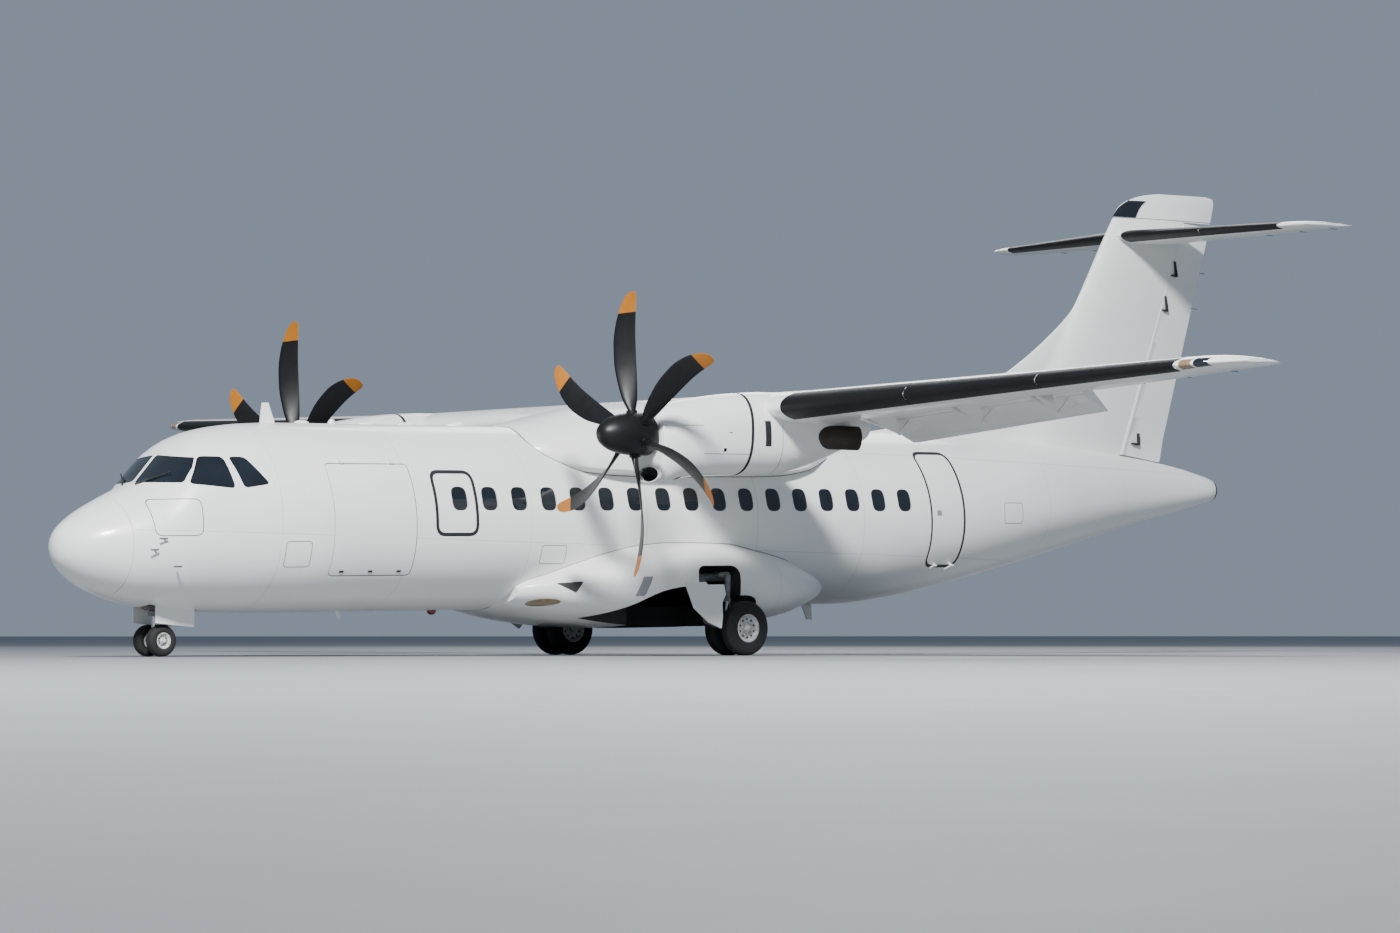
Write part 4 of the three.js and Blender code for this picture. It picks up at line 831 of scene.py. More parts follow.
panes = {}
holes = []
for kind in ("windscreen", "side_window", "rear_window"):
    pane = combine(pane_prism(kind, 0), under["thin"], "INTERSECT", keep=True)
    panes[kind] = painted(combine(pane, under["glass"], keep=True), window_glass)
    hole = painted(pane_prism(kind, SEALANT_WIDTH), window_rim)
    holes += [hole, twin(hole, "hole", MIRROR)]
combine(fuselage, combine(together("window_holes", holes), under["glass"], keep=True))
for kind, pane in panes.items():
    for side in SIDES:
        piece = twin(pane, f"{kind}_glass_{side}", MIRROR if side == "left" else None)
        finished(piece, "airframe", "window_glass", f"{kind}_{side}")
    drop(pane)
print("cockpit panes", 2 * len(panes))

# %% [markdown]
# The cabin has a row of 17 small windows on each side, half a metre apart like the seat rows. They aren't
# in the CAD model. One window is modelled as a rounded prism and copied along the row; the row is cut into
# the skin as shallow pockets, and a dark acrylic pane lies in each.

# %% Cabin windows
WINDOW = dict(first=5.83, pitch=0.533, count=17, z=0.65, half_x=0.135, half_z=0.170, corner=0.115)
WINDOW_WALL = (-1.6, -1.2)  # y from and to
PANE_PLAY = 0.006


def window_row(grow):
    half_x, half_z = WINDOW["half_x"], WINDOW["half_z"]
    outline = rectangle((-half_x, half_x), (-half_z, half_z), WINDOW["corner"], grow)
    one = prism("window", outline, "y", *WINDOW_WALL)
    spots = [WINDOW["first"] + i * WINDOW["pitch"] for i in range(WINDOW["count"])]
    row = [twin(one, "window", Matrix.Translation((x, 0, WINDOW["z"]))) for x in spots]
    drop(one)
    return together("window_row", row)


pockets = both_sides(painted(window_row(0), grey_sealant))
combine(fuselage, combine(pockets, under["pane"], keep=True))
row = combine(window_row(-PANE_PLAY), under["groove"], "INTERSECT", keep=True)
combine(row, under["pane"], keep=True)
for side in SIDES:
    piece = twin(row, f"cabin_windows_{side}", MIRROR if side == "right" else None)
    finished(painted(piece, window_glass), "airframe", "window_glass")
drop(row)
print("cabin windows", 2 * WINDOW["count"])

# %% [markdown]
# Exits and hatches that stay closed show only as dark outlines where their rubber seals lie. A ring between
# two rectangles is cut a few millimetres deep, and its walls are black. Paint alone could draw it, but a
# groove also catches a shadow.

# %% Grooves around exits and hatches
LEFT, RIGHT, BOTH = ("left",), ("right",), ("left", "right")
# x from and to, z from and to, corner, width of the groove, sides
GROOVES = [
    ((5.41, 6.12), (0.14, 1.03), 0.14, 0.052, BOTH),  # emergency exits
    ((1.04, 1.68), (0.14, 0.64), 0.10, 0.010, BOTH),  # hatches to the nose bay
    ((14.98, 15.60), (-0.28, 1.10), 0.12, 0.014, RIGHT),  # service door
    ((2.90, 3.30), (-0.30, 0.05), 0.05, 0.009, BOTH),  # access panels
    ((7.30, 7.75), (-0.28, -0.02), 0.04, 0.008, LEFT),
    ((16.60, 17.05), (0.30, 0.62), 0.05, 0.009, BOTH),
]
GROOVE_WALL = (-1.6, -0.35)  # y from and to


def groove_ring(x, z, corner, width):
    ring = prism("ring", rectangle(x, z, corner, width / 2), "y", *GROOVE_WALL)
    return combine(ring, prism("inner", rectangle(x, z, corner, -width / 2), "y", *GROOVE_WALL))


rings = []
for x, z, corner, width, sides in GROOVES:
    ring = groove_ring(x, z, corner, width)
    rings += [twin(ring, "ring", MIRROR if side == "right" else None) for side in sides]
    drop(ring)
grooves = painted(together("grooves", rings), window_rim)
combine(fuselage, combine(grooves, under["groove"], keep=True))
print("grooves", len(rings))

# %% [markdown]
# Underneath, the body is open for the wheels: a bay for the nose gear and a well on each side for the main
# wheels. They are cut as plain blocks. Their walls are painted shade, a dark grey that reads as black
# from outside.

# %% Wheel bays in the body
NOSE_BAY = ((1.330, 2.110), (-0.290, 0.290), (-1.5, -0.330))  # x, y and z from and to
WELL = ((9.080, 10.980), (0.180, 1.500), (-1.5, -0.560))
# The bay and the wells are walled in painted shade
combine(fuselage, painted(block("nose_bay", *NOSE_BAY), painted_shade))
combine(fuselage, both_sides(painted(block("well", *WELL), painted_shade)))
finished(fuselage, "airframe", "white_paint", "fuselage_nose", "fuselage_center", "fuselage_tail")
print("fuselage", len(fuselage.data.polygons), "faces")

# %% [markdown]
# Two fairings smooth the joints of wing and gear with the body, both moulded in composite and painted
# white. The lower one carries a sponson on each side, with a slot for the leg, an arch over the wheels and
# a mouth that sweeps up to the leg, through which the well shows dark. Blunt ends are bevelled, since a
# moulding has no sharp edge.

# %% Gear fairing and wing fairing
LEG_SLOT = ((9.680, 10.480), (1.400, 2.300), (-1.5, -0.330), 0.16)  # x, y and z from and to, corner
ARCH = ((9.900, 10.860), (1.450, 2.450), (-1.5, -0.770), 0.26)
MOUTH = [(8.05, -1.6), (8.07, -1.10), (8.22, -1.045), (8.37, -0.99), (8.52, -0.93), (8.66, -0.865),
         (8.79, -0.80), (8.92, -0.74), (9.05, -0.695), (9.20, -0.66), (9.37, -0.635), (9.55, -0.625),
         (9.95, -0.625), (9.95, -1.6)]  # x, z
MOUTH_REACH = (1.1, 2.6)  # y from and to
FAIRING_EDGE = 0.05
BLUNT = 50  # degrees; the ends of a skin are sharper than this, its sides are not
gear_fairing = painted(table_skin("gear_fairing_skin", GEAR_FAIRING), plain_enamel)
bevelled(gear_fairing, FAIRING_EDGE, 3, BLUNT)
# The well, the leg slot, the arch and the mouth are walled in painted shade
combine(gear_fairing, both_sides(painted(block("well", *WELL), painted_shade)))
for x, y, z, corner in (LEG_SLOT, ARCH):
    cutter = prism("cutter", rectangle(x, z, corner), "y", *y)
    combine(gear_fairing, both_sides(painted(cutter, painted_shade)))
combine(gear_fairing, both_sides(painted(prism("mouth", MOUTH, "y", *MOUTH_REACH), painted_shade)))
wing_fairing = painted(table_skin("wing_fairing_skin", WING_FAIRING), plain_enamel)
print("fairings", len(gear_fairing.data.polygons), len(wing_fairing.data.polygons), "faces")

# %% [markdown]
# A bead of sealant closes the joint between a fairing and the body. It is what is left of a slightly larger
# fairing once it is kept to the few millimetres around the hull's skin and the fairing itself is taken out
# of it.

# %% Sealant around the fairings
BEAD, BEAD_PROUD, BEAD_DEPTH = 12, 2, 6  # mm: beyond the fairing, proud of the hull, into the fairing
hull_line = hull_skin("hull_line", -BEAD_PROUD, 5000, 15500)
for name, table, material in (("wing", WING_FAIRING, window_rim), ("gear", GEAR_FAIRING, grey_sealant)):
    line = combine(table_skin("line", table, -BEAD), hull_line, "INTERSECT", keep=True)
    combine(combine(line, under["thin"], keep=True), table_skin("core", table, BEAD_DEPTH))
    line.name = f"{name}_fairing_sealant"
    finished(painted(line, material), "airframe", "black_composite")
drop(hull_line)
finished(wing_fairing, "airframe", "white_paint", "wing_fairing")
finished(gear_fairing, "airframe", "white_paint", "gear_fairing")
print("sealant around two fairings")

# %% [markdown]
# Each engine sits in a nacelle under the wing. Below the spinner is the air intake, a wide black oval. A
# dark band marks the joint between the cowls, with a cooling slot behind it, and thin seams part the cowl
# panels. The intake is a prism cut far in, and the marks are prisms cut a few millimetres deep. One nacelle
# serves both sides.

# %% Nacelles
HUB_Y = 4.050
INTAKE = dict(z=0.930, half=(0.230, 0.105), x=(7.0, 7.52))
BAND = [(8.665, 2.20), (8.715, 2.20), (8.655, 1.60), (8.600, 0.80), (8.550, 0.80), (8.605, 1.60)]
SLOT = [(8.86, 1.32), (8.97, 1.32), (8.97, 1.68), (8.86, 1.68)]
SLOT_REACH = (0.3, 0.6)  # y from and to, on both sides of the nacelle
NACELLE_REACH, NACELLE_EDGE = (-0.7, 0.7), 0.045
MARK_DEPTH, COWL_SEAM_DEPTH = 12, 4  # mm
COWL_SEAMS = [  # x from and to, z from and to
    ((7.745, 7.753), (0.60, 2.20)), ((7.753, 8.585), (1.205, 1.213)), ((7.40, 7.745), (1.60, 1.608)),
    ((9.18, 9.188), (0.80, 1.62)), ((8.20, 8.26), (1.50, 1.512)), ((8.10, 8.15), (1.24, 1.29)),
]
nacelle = table_skin("nacelle", NACELLE)
bevelled(painted(nacelle, plain_enamel), NACELLE_EDGE, 4, BLUNT)
nacelle_groove = painted(table_skin("nacelle_groove", NACELLE, MARK_DEPTH), window_rim)
oval = disc(0, INTAKE["z"], *INTAKE["half"], 32)
# The intake duct is walled in painted shade, dark grey far inside
combine(nacelle, painted(prism("duct", oval, "x", *INTAKE["x"]), painted_shade))
near, far = SLOT_REACH
marks = together("marks", [prism("band", BAND, "y", *NACELLE_REACH), prism("slot", SLOT, "y", -far, -near),
                           prism("slot", SLOT, "y", near, far)])
combine(nacelle, combine(painted(marks, window_rim), nacelle_groove))
seams = together("seams", [prism("seam", rectangle(x, z), "y", *NACELLE_REACH) for x, z in COWL_SEAMS])
nacelle_seam = painted(table_skin("nacelle_seam", NACELLE, COWL_SEAM_DEPTH), window_rim)
combine(nacelle, combine(painted(seams, window_rim), nacelle_seam))
print("nacelle", len(nacelle.data.polygons), "faces")

# %% [markdown]
# A rounded lip lines the edge of the intake, so that air turns in smoothly. It is a small closed section
# carried once round the oval. Nacelle and lip are then copied to their two places.

# %% Intake lips and both nacelles
LIP = [(1.0, 7.085), (1.12, 7.088), (1.2, 7.12), (1.12, 7.16), (1.0, 7.16)]  # size of the oval, x
lip_rings = []
for grow, x in LIP:
    half_y, half_z = (grow * half for half in INTAKE["half"])
    lip_rings.append([(x, y, z) for y, z in disc(0, INTAKE["z"], half_y, half_z, 40)])
intake_lip = painted(rolled("intake_lip", lip_rings, closed_along=True), plain_enamel)
for side, sign in SIDES.items():
    move = Matrix.Translation((0, sign * HUB_Y, 0))
    finished(twin(nacelle, f"nacelle_{side}_cowls", move), "airframe", "white_paint", f"nacelle_{side}")
    finished(twin(intake_lip, f"intake_lip_{side}", move), "airframe", "white_paint")
drop(nacelle)
drop(intake_lip)
print("nacelles", len(SIDES))

# %% [markdown]
# Each propeller has six swept blades of composite, black with orange tips. A blade is lofted through
# sections whose chord, sweep and twist come from a short table, as on the CAD solid but finer. The faces
# near its tip take the second of its two materials.

# %% Blade
# radius, chord, sweep of the middle of the chord, pitch in degrees, thickness, in mm
BLADE = [
    (250, 120, 0, 62, 118), (330, 120, 0, 60, 96), (440, 190, -18, 56, 60), (700, 265, -52, 47, 36),
    (1000, 315, -72, 39, 26), (1300, 325, -58, 32, 20), (1550, 300, -8, 28, 15), (1800, 235, 85, 24, 10),
    (1920, 165, 150, 22, 7), (1965, 80, 182, 22, 5),
]
TIP_PAINT_FROM = 1.70
RADII = [250, 290, 330, 380, 440, 520, 610, *range(700, 1700, 100), 1690, 1710, 1800, 1870, 1920, 1950, 1965]


def blade_ring(row, count=20):
    """Points of one section, round in front and leaner behind, turned by its pitch."""
    radius, chord, sweep, pitch, thick = row
    angle = math.radians(pitch)
    ring = []
    for i in range(count):
        a = 2 * math.pi * i / count
        u, v = math.cos(a) * chord / 2, math.sin(a) * thick / 2 * (1 - 0.25 * math.cos(a))
        ring.append(((u * math.sin(angle) + v * math.cos(angle)) * MM,
                     (-sweep - u * math.cos(angle) + v * math.sin(angle)) * MM, radius * MM))
    return ring


blade = rolled("blade", [blade_ring(row) for row in eased(BLADE, RADII)])
painted(blade, blade_black, tip_orange)
for face in blade.data.polygons:
    if face.center.z > TIP_PAINT_FROM:
        face.material_index = 1
print("blade", len(blade.data.polygons), "faces")

# %% [markdown]
# The spinner is a cap turned round the shaft, so it is rolled through circles. A cuff joins each blade to
# the hub. The blade and its cuff are copied six times round the shaft, joined, and the whole is copied to
# both sides.

# %% Spinner, hub and both propellers
HUB = Vector((6.840, 0, 1.486))
BLADES, FIRST_BLADE_DEG = 6, 5
SPINNER = [  # x, radius
    (-0.610, 0.006), (-0.606, 0.045), (-0.592, 0.085), (-0.565, 0.122), (-0.525, 0.160), (-0.470, 0.195),
    (-0.410, 0.225), (-0.330, 0.252), (-0.250, 0.272), (-0.150, 0.288), (-0.060, 0.296), (0.060, 0.300),
    (0.205, 0.300), (0.215, 0.292),
]
CUFF_RADIUS, SHAFT_RADIUS = 0.078, 0.10
spinner = rolled("spinner", [[(x, v, u) for u, v in disc(0, 0, r, r, 56)] for x, r in SPINNER])
hub_cuff = bar("cuff", (0, 0, 0.10), (0, 0, 0.325), CUFF_RADIUS, sides=28)
shaft = bar("shaft", (-0.15, 0, 0), (0.67, 0, 0), SHAFT_RADIUS, sides=28)
spokes = [Matrix.Rotation(math.radians(-FIRST_BLADE_DEG - 360 / BLADES * i), 4, "X") for i in range(BLADES)]
wheel = []
for spoke in spokes:
    wheel += [twin(blade, "blade", spoke), painted(twin(hub_cuff, "cuff", spoke), blade_black)]
propeller = together("propeller", [*wheel, painted(twin(shaft, "shaft"), blade_black)])
for side, sign in SIDES.items():
    move = Matrix.Translation(HUB + Vector((0, sign * HUB_Y, 0)))
    piece = twin(propeller, f"propeller_{side}_blades", move)
    finished(piece, f"propeller_{side}", "black_composite", f"propeller_{side}", angle=50)
    cap = painted(twin(spinner, f"spinner_{side}_cap", move), blade_black)
    finished(cap, f"propeller_{side}", "black_composite", f"spinner_{side}", angle=50)
for part in (blade, hub_cuff, shaft, spinner, propeller):
    drop(part)
print("propellers", len(piece.data.polygons), "faces each")

# %% [markdown]
# Wings, tail, legs and small parts already have their right shape in the CAD solids. A copy of each is
# merged, so that its loose triangles share corners and can be shaded smooth, and it is given its real
# finish. Weighted normals keep the large flat faces flat beside their rounded edges.

# %% Copies of the CAD solids in their finishes
SLOTS = {entry["node"]: entry["material_slot"] for entry in frame["record"]["subparts"]}
FINISHES = {
    wing_enamel: ["wing_center", "wing_outer_left", "wing_outer_right", "tailplane"],
    plain_enamel: ["aileron_left", "aileron_right", "flap_inboard_left", "flap_inboard_right",
                   "flap_outboard_left", "flap_outboard_right", "elevator_left", "elevator_right",
                   "nose_door_left", "nose_door_right", "main_door_left", "main_door_right", "roof_aerial",
                   "belly_aerial"],
    stained_steel: ["exhaust_left", "exhaust_right"],
    # The legs and the fork take the grey enamel with its painted shade
    gear_enamel_and_shade: ["nose_leg", "nose_fork", "main_leg_left", "main_leg_right"],
}
SKIN_ANGLE, METAL_ANGLE = 22, 38  # degrees
for material, nodes in FINISHES.items():
    for node in nodes:
        source = frame["nodes"][node]
        piece = twin(source, f"{node}_finish")
        painted(piece, material)
        edit(piece, merge)
        angle = SKIN_ANGLE if material in (wing_enamel, plain_enamel) else METAL_ANGLE
        finished(piece, source["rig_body"], SLOTS[node], node, angle=angle, in_stations=False)
        weigh = piece.modifiers.new("weigh", "WEIGHTED_NORMAL")
        weigh.keep_sharp = True
        bpy.ops.object.modifier_apply(modifier=weigh.name)
for side in SIDES:
    painted(frame["nodes"][f"engine_{side}"], stained_steel)
print("copies", sum(len(nodes) for nodes in FINISHES.values()))

# %% [markdown]
# The fin is one tall loft from the dorsal fillet to its rounded cap, with an airfoil at each height. A
# straight wing section would miss the fillet, so each ring adds the fillet's thin wedge ahead of the
# airfoil's leading edge.

# %% Fin
# height, front edge of the fillet, line of the leading edge, trailing edge, greatest half thickness, in mm
FIN = [
    (1150, 14300, 17780, 21270, 170), (1690, 14600, 18110, 21445, 166), (1870, 15670, 18220, 21505, 164),
    (2080, 16330, 18350, 21575, 162), (2310, 16930, 18490, 21650, 160), (2630, 17670, 18690, 21755, 157),
    (2950, 18250, 18890, 21865, 154), (3300, 18780, 19105, 21980, 151), (3800, 19390, 19415, 22145, 147),
    (4110, 19609, 19610, 22250, 144), (5320, 20359, 20360, 22650, 132), (5520, 20520, 20521, 22705, 112),
    (5660, 20790, 20791, 22735, 80), (5735, 21100, 21101, 22720, 50), (5770, 21450, 21451, 22560, 24),
]
FIN_HEIGHTS = [*range(1150, 5320, 60), 5320, 5400, 5470, 5520, 5570, 5620, 5660, 5700, 5735, 5755, 5770]
FILLET_HALF, FILLET_RISE = 46, 420  # mm: half its thickness, and the length over which it reaches that


def thickness(share):
    """Half the thickness of a wing section, as a share of the greatest, at a share of the chord."""
    half = (2.969 * math.sqrt(share) - 1.26 * share - 3.516 * share ** 2 + 2.843 * share ** 3
            - 1.036 * share ** 4)
    return half / 2 + 0.012 * share


def fin_ring(row, count=30, last=1.0, grow=0.0):
    """Points of the fin at one height, from its trailing edge forward along port and back along starboard."""
    height, edge, front, back, half = row
    along = [edge + (1 - math.cos(math.pi * i / count)) / 2 * last * (back - edge) for i in range(count + 1)]

    def half_at(x):
        share = min(1, max(0, (x - front) / (back - front)))
        rise = min(1, (x - edge) / FILLET_RISE)
        fillet = FILLET_HALF * math.sqrt(rise) * (1 - share) if edge < front - 2 else 0
        return math.hypot(2 * half * thickness(share), fillet) + grow
    port = [(x * MM, -half_at(x) * MM, height * MM) for x in reversed(along)]
    return port + [(x * MM, half_at(x) * MM, height * MM) for x in along[1:]]


fin = painted(rolled("fin_skin", [fin_ring(row) for row in eased(FIN, FIN_HEIGHTS)]), plain_enamel)
print("fin", len(fin.data.polygons), "faces")

# %% [markdown]
# The rudder is cut out of the fin along its raked hinge line, so both keep the same airfoil. Its front edge
# is round about the hinge, and the fin is hollowed by the same round a few millimetres larger. So the gap
# stays the same as the rudder turns.

# %% Rudder
RUDDER_FOOT, RUDDER_HEAD = (20.330, 1.300), (21.960, 5.320)  # x, z of the hinge line's ends
RUDDER_RADII, RUDDER_PLAY = (0.118, 0.076), 0.007
FIN_REACH = (-0.5, 0.5)  # y from and to
FIN_TOP, RUDDER_TOP = 5.318, 5.296


def rudder_axis(z):
    slope = (RUDDER_HEAD[0] - RUDDER_FOOT[0]) / (RUDDER_HEAD[1] - RUDDER_FOOT[1])
    return (RUDDER_FOOT[0] + (z - RUDDER_FOOT[1]) * slope, 0, z)


RUDDER_FOOT_LINE = [(20.48, 1.44), (21.28, 1.34)]
RUDDER_SIDE = [(20.390, 1.447), *RUDDER_FOOT_LINE, (24.0, 1.340), (24.0, 5.182), (21.960, RUDDER_TOP),
               (rudder_axis(RUDDER_TOP)[0], RUDDER_TOP)]
NOSE_BAND = [(19.5, 1.5), *RUDDER_FOOT_LINE, (23, 1.34), (23, RUDDER_TOP), (19.5, RUDDER_TOP)]
AFT_OF_HINGE = [(rudder_axis(0.8)[0], 0.8), (25.0, 0.8), (25.0, FIN_TOP), (rudder_axis(FIN_TOP)[0], FIN_TOP)]


def hinge_bar(name, play):
    """The round about the hinge line, from below the rudder to above it."""
    radii = (radius + play for radius in RUDDER_RADII)
    return bar(name, rudder_axis(1.0), rudder_axis(5.6), *radii, sides=48)


rudder = combine(prism("rudder_skin", RUDDER_SIDE, "y", *FIN_REACH), fin, "INTERSECT", keep=True)
rudder_nose = combine(hinge_bar("rudder_nose", 0), prism("band", NOSE_BAND, "y", *FIN_REACH), "INTERSECT")
painted(combine(rudder, rudder_nose, "UNION"), plain_enamel)
combine(fin, prism("aft", AFT_OF_HINGE, "y", *FIN_REACH))
below_top = block("below", (18, 24), (-1, 1), (0, FIN_TOP))
combine(fin, combine(hinge_bar("hollow", RUDDER_PLAY), below_top, "INTERSECT"))
finished(rudder, "rudder", "white_paint", "rudder")
finished(fin, "airframe", "white_paint", "fin", "fin_cap")
print("fin", len(fin.data.polygons), "rudder", len(rudder.data.polygons), "faces")

# %% [markdown]
# A dark line of sealant parts the fin from its cap, and a dark glossy strip lies over the cap's front edge.
# Both follow the fin's own rings, a little proud of them, which is simpler than cutting them out of the
# fin.

# %% Seam and front strip of the fin cap
SEAM_HEIGHTS, STRIP_HEIGHTS = (5334, 5342), range(5350, 5640, 40)
cap_seam = rolled("fin_cap_seam", [fin_ring(row, grow=1.5) for row in eased(FIN, SEAM_HEIGHTS)])
finished(painted(cap_seam, window_rim), "airframe", "black_composite")
cap_lens = sheet_of("fin_cap_lens", [fin_ring(row, 12, 0.17, 4) for row in eased(FIN, STRIP_HEIGHTS)])
print("strip", len(cap_lens.data.polygons), "faces")

# %% [markdown]
# Wing and tailplane get smooth leading edges, each a grid wrapped round the nose of the wing section and
# given a thickness. So the same wing tables as in the CAD model are needed, with the formula that turns a
# row into an airfoil. Its points lie closest together at the nose, where the curve is tightest.

# %% Sections of wing and tailplane
# span station, leading edge, chord, height of the chord line, thickness to chord, incidence in degrees, in mm
WING = [
    (0, 8930, 2570, 1850, 0.18, 2), (4780, 8930, 2570, 1850, 0.18, 2), (11650, 9735, 1480, 2165, 0.135, 0),
    (11900, 9790, 1430, 2180, 0.125, 0), (12100, 9940, 1250, 2195, 0.11, 0),
    (12225, 10160, 960, 2205, 0.09, 0), (12285, 10400, 600, 2212, 0.07, 0),
]
TAILPLANE = [
    (0, 20310, 2090, 5030, 0.115, 0), (3420, 21010, 1170, 5030, 0.1, 0), (3560, 21075, 1085, 5030, 0.09, 0),
    (3630, 21180, 960, 5030, 0.07, 0), (3655, 21330, 740, 5030, 0.05, 0),
]
TABLES = {"wing": WING, "tail": TAILPLANE}
CAMBERS = {"wing": 0.02, "tail": 0.0}
WING_TIP = WING[2:]


def row_at(table, span):
    """A row of a table at any span, on straight lines between its rows."""
    i = max(1, next((k for k, row in enumerate(table) if row[0] >= span), len(table) - 1))
    share = (span - table[i - 1][0]) / (table[i][0] - table[i - 1][0])
    return [a + (b - a) * share for a, b in zip(table[i - 1], table[i])]


def section(row, camber, steps, proud=0.0):
    """Points of a wing section at signed square roots of the share of the chord: below is negative."""
    span, front, chord, height, ratio, incidence = row
    flat = []
    for t in steps:
        half = math.copysign(ratio, t) * thickness(t * t)
        flat.append((t * t * chord, (camber * 4 * t * t * (1 - t * t) + half) * chord))
    tilt = math.radians(incidence)
    points = []
    for i, (u, v) in enumerate(flat):
        before, after = Vector(flat[max(0, i - 1)]), Vector(flat[min(len(flat) - 1, i + 1)])
        along = (after - before).normalized()
        u, v = u - along.y * proud, v + along.x * proud
        points.append(((front + u * math.cos(tilt) + v * math.sin(tilt)) * MM, span * MM,
                       (height + v * math.cos(tilt) - (u - chord / 4) * math.sin(tilt)) * MM))
    return points


def thickened(piece, thick):
    activate(piece)
    modifier = piece.modifiers.new("solidify", "SOLIDIFY")
    modifier.thickness, modifier.offset = thick, -1
    bpy.ops.object.modifier_apply(modifier=modifier.name)
    return piece


def leading_edge(name, which, spans, share, proud, thick, pieces=24):
    """A strip round the nose of the section, back to a share of the chord, that stands proud by some mm."""
    reach = math.sqrt(share)
    steps = [reach * (2 * i / pieces - 1) for i in range(pieces + 1)]
    start, end = spans
    count = max(2, round((end - start) / 400))
    stations = [start + (end - start) * i / count for i in range(count + 1)]
    rows = [row_at(TABLES[which], span) for span in stations]
    if which == "wing" and start > WING_TIP[0][0]:
        rows = eased(WING_TIP, stations)
    sheet = sheet_of(name, [section(row, CAMBERS[which], steps, proud) for row in rows])
    middle = sheet.data.polygons[len(sheet.data.polygons) // 2]
    if middle.normal.x > 0:
        sheet.data.flip_normals()
    return thickened(sheet, thick)


print("wing sections", len(WING), "tailplane sections", len(TAILPLANE))

# %% [markdown]
# Outboard the leading edges are black rubber boots, which swell with air to break ice off. They come in
# sections with thin gaps between them. Inboard the edges are bare white skins. All stand a few millimetres
# proud of the wing.

# %% Leading edges
KINDS = {  # proud in mm, thickness in m, material, slot
    "boot": (5, 0.008, boot_rubber, "tyre_rubber"),
    "skin": (2, 0.004, wing_enamel, "white_paint"),
}
EDGES = [  # name, table, from and to along the span in mm, share of the chord, kind
    ("wing_boot_inner", "wing", (4750, 7000), 0.105, "boot"),
    ("wing_boot_middle", "wing", (7014, 9300), 0.105, "boot"),
    ("wing_boot_outer", "wing", (9314, 11600), 0.105, "boot"),
    ("wing_edge_root", "wing", (1480, 3640), 0.12, "skin"),
    ("wing_edge_outer", "wing", (4460, 4749), 0.12, "skin"),
    ("tail_boot_inner", "tail", (190, 1640), 0.11, "boot"),
    ("tail_boot_outer", "tail", (1654, 3090), 0.11, "boot"),
]
for name, which, spans, share, kind in EDGES:
    proud, thick, material, slot = KINDS[kind]
    edge = painted(leading_edge(name, which, spans, share, proud, thick), material)
    for side in SIDES:
        finished(twin(edge, f"{name}_{side}", MIRROR if side == "left" else None), "airframe", slot)
    drop(edge)
print("leading edges", 2 * len(EDGES))

# %% [markdown]
# At the wing tip the section shrinks to a rounded end, moulded in composite, with a clear cover over the
# navigation light and another over the strobe. The whole tip is rolled through full sections. The horn of
# the elevator, which runs ahead of its hinge, gets an edge of its own that moves with it.

# %% Wing tips, tip lights and elevator horns
TIP_SPANS = [11650.3, 11720, 11800, 11900, 12000, 12070, 12130, 12180, 12225, 12255, 12275, 12285]
lower = [-math.sqrt((1 + math.cos(math.pi * i / 22)) / 2) for i in range(22)]
WHOLE = [*lower, 0.0, *(-t for t in reversed(lower))]
LENS_PROUD, LENS_THICK = 4, 0.006  # mm, m
horn = painted(leading_edge("horn_edge", "tail", (3125, 3560), 0.14, 2, 0.004), plain_enamel)
tip_rows = [section(row, CAMBERS["wing"], WHOLE) for row in eased(WING_TIP, TIP_SPANS)]
wing_tip = painted(rolled("wing_tip", tip_rows), plain_enamel)
tip_lens = leading_edge("tip_lens", "wing", (11680, 11860), 0.07, LENS_PROUD, LENS_THICK)
strobe = leading_edge("strobe", "wing", (11905, 12060), 0.06, LENS_PROUD, LENS_THICK)
painted(tip_lens, lamp_glass)
painted(strobe, window_glass)
for side in SIDES:
    mirror = MIRROR if side == "left" else None
    finished(twin(horn, f"horn_edge_{side}", mirror), f"elevator_{side}", "white_paint")
    finished(twin(wing_tip, f"wing_tip_skin_{side}", mirror), "airframe", "white_paint", f"wing_tip_{side}")
    finished(twin(tip_lens, f"tip_lens_{side}", mirror), "airframe", "window_glass")
    finished(twin(strobe, f"strobe_lens_{side}", mirror), "airframe", "window_glass")
for part in (horn, wing_tip, tip_lens, strobe):
    drop(part)
finished(painted(thickened(cap_lens, LENS_THICK), window_glass), "airframe", "window_glass")
print("wing tips", len(tip_rows), "sections each")

# %% [markdown]
# Each wheel is turned on a lathe: a tyre section with four tread grooves, and a dished hub of cast
# magnesium. Only one side of each section is listed, and it is mirrored about the middle of the wheel. The
# tyres stand on the floor, so they have the rolling radius of the CAD tyres.

# %% Sections of tyres and hubs
# radius and distance from the middle of the wheel, in metres
TYRE = [
    (0.205, 0.0924), (0.222, 0.100), (0.245, 0.1065), (0.275, 0.110), (0.308, 0.1095), (0.338, 0.105),
    (0.362, 0.0965), (0.379, 0.085), (0.390, 0.071), (0.3955, 0.0575), (0.3965, 0.0545), (0.3885, 0.0535),
    (0.3885, 0.0465), (0.3972, 0.0455), (0.3983, 0.0215), (0.3900, 0.0205), (0.3900, 0.0135),
    (0.3988, 0.0125),
]
HUB_SECTION = [
    (0.0006, 0.106), (0.030, 0.106), (0.044, 0.102), (0.050, 0.094), (0.054, 0.070), (0.070, 0.060),
    (0.110, 0.054), (0.150, 0.058), (0.164, 0.072), (0.174, 0.092), (0.182, 0.0975), (0.203, 0.0975),
    (0.2062, 0.0950), (0.2062, 0.0890),
]
NOSE_TYRE = [
    (0.112, 0.0714), (0.125, 0.0795), (0.142, 0.0845), (0.162, 0.0850), (0.182, 0.0805), (0.198, 0.0710),
    (0.210, 0.0560), (0.2155, 0.0430), (0.2110, 0.0420), (0.2110, 0.0360), (0.2178, 0.0350),
    (0.2200, 0.0130), (0.2155, 0.0120), (0.2155, 0.0070), (0.2216, 0.0060),
]
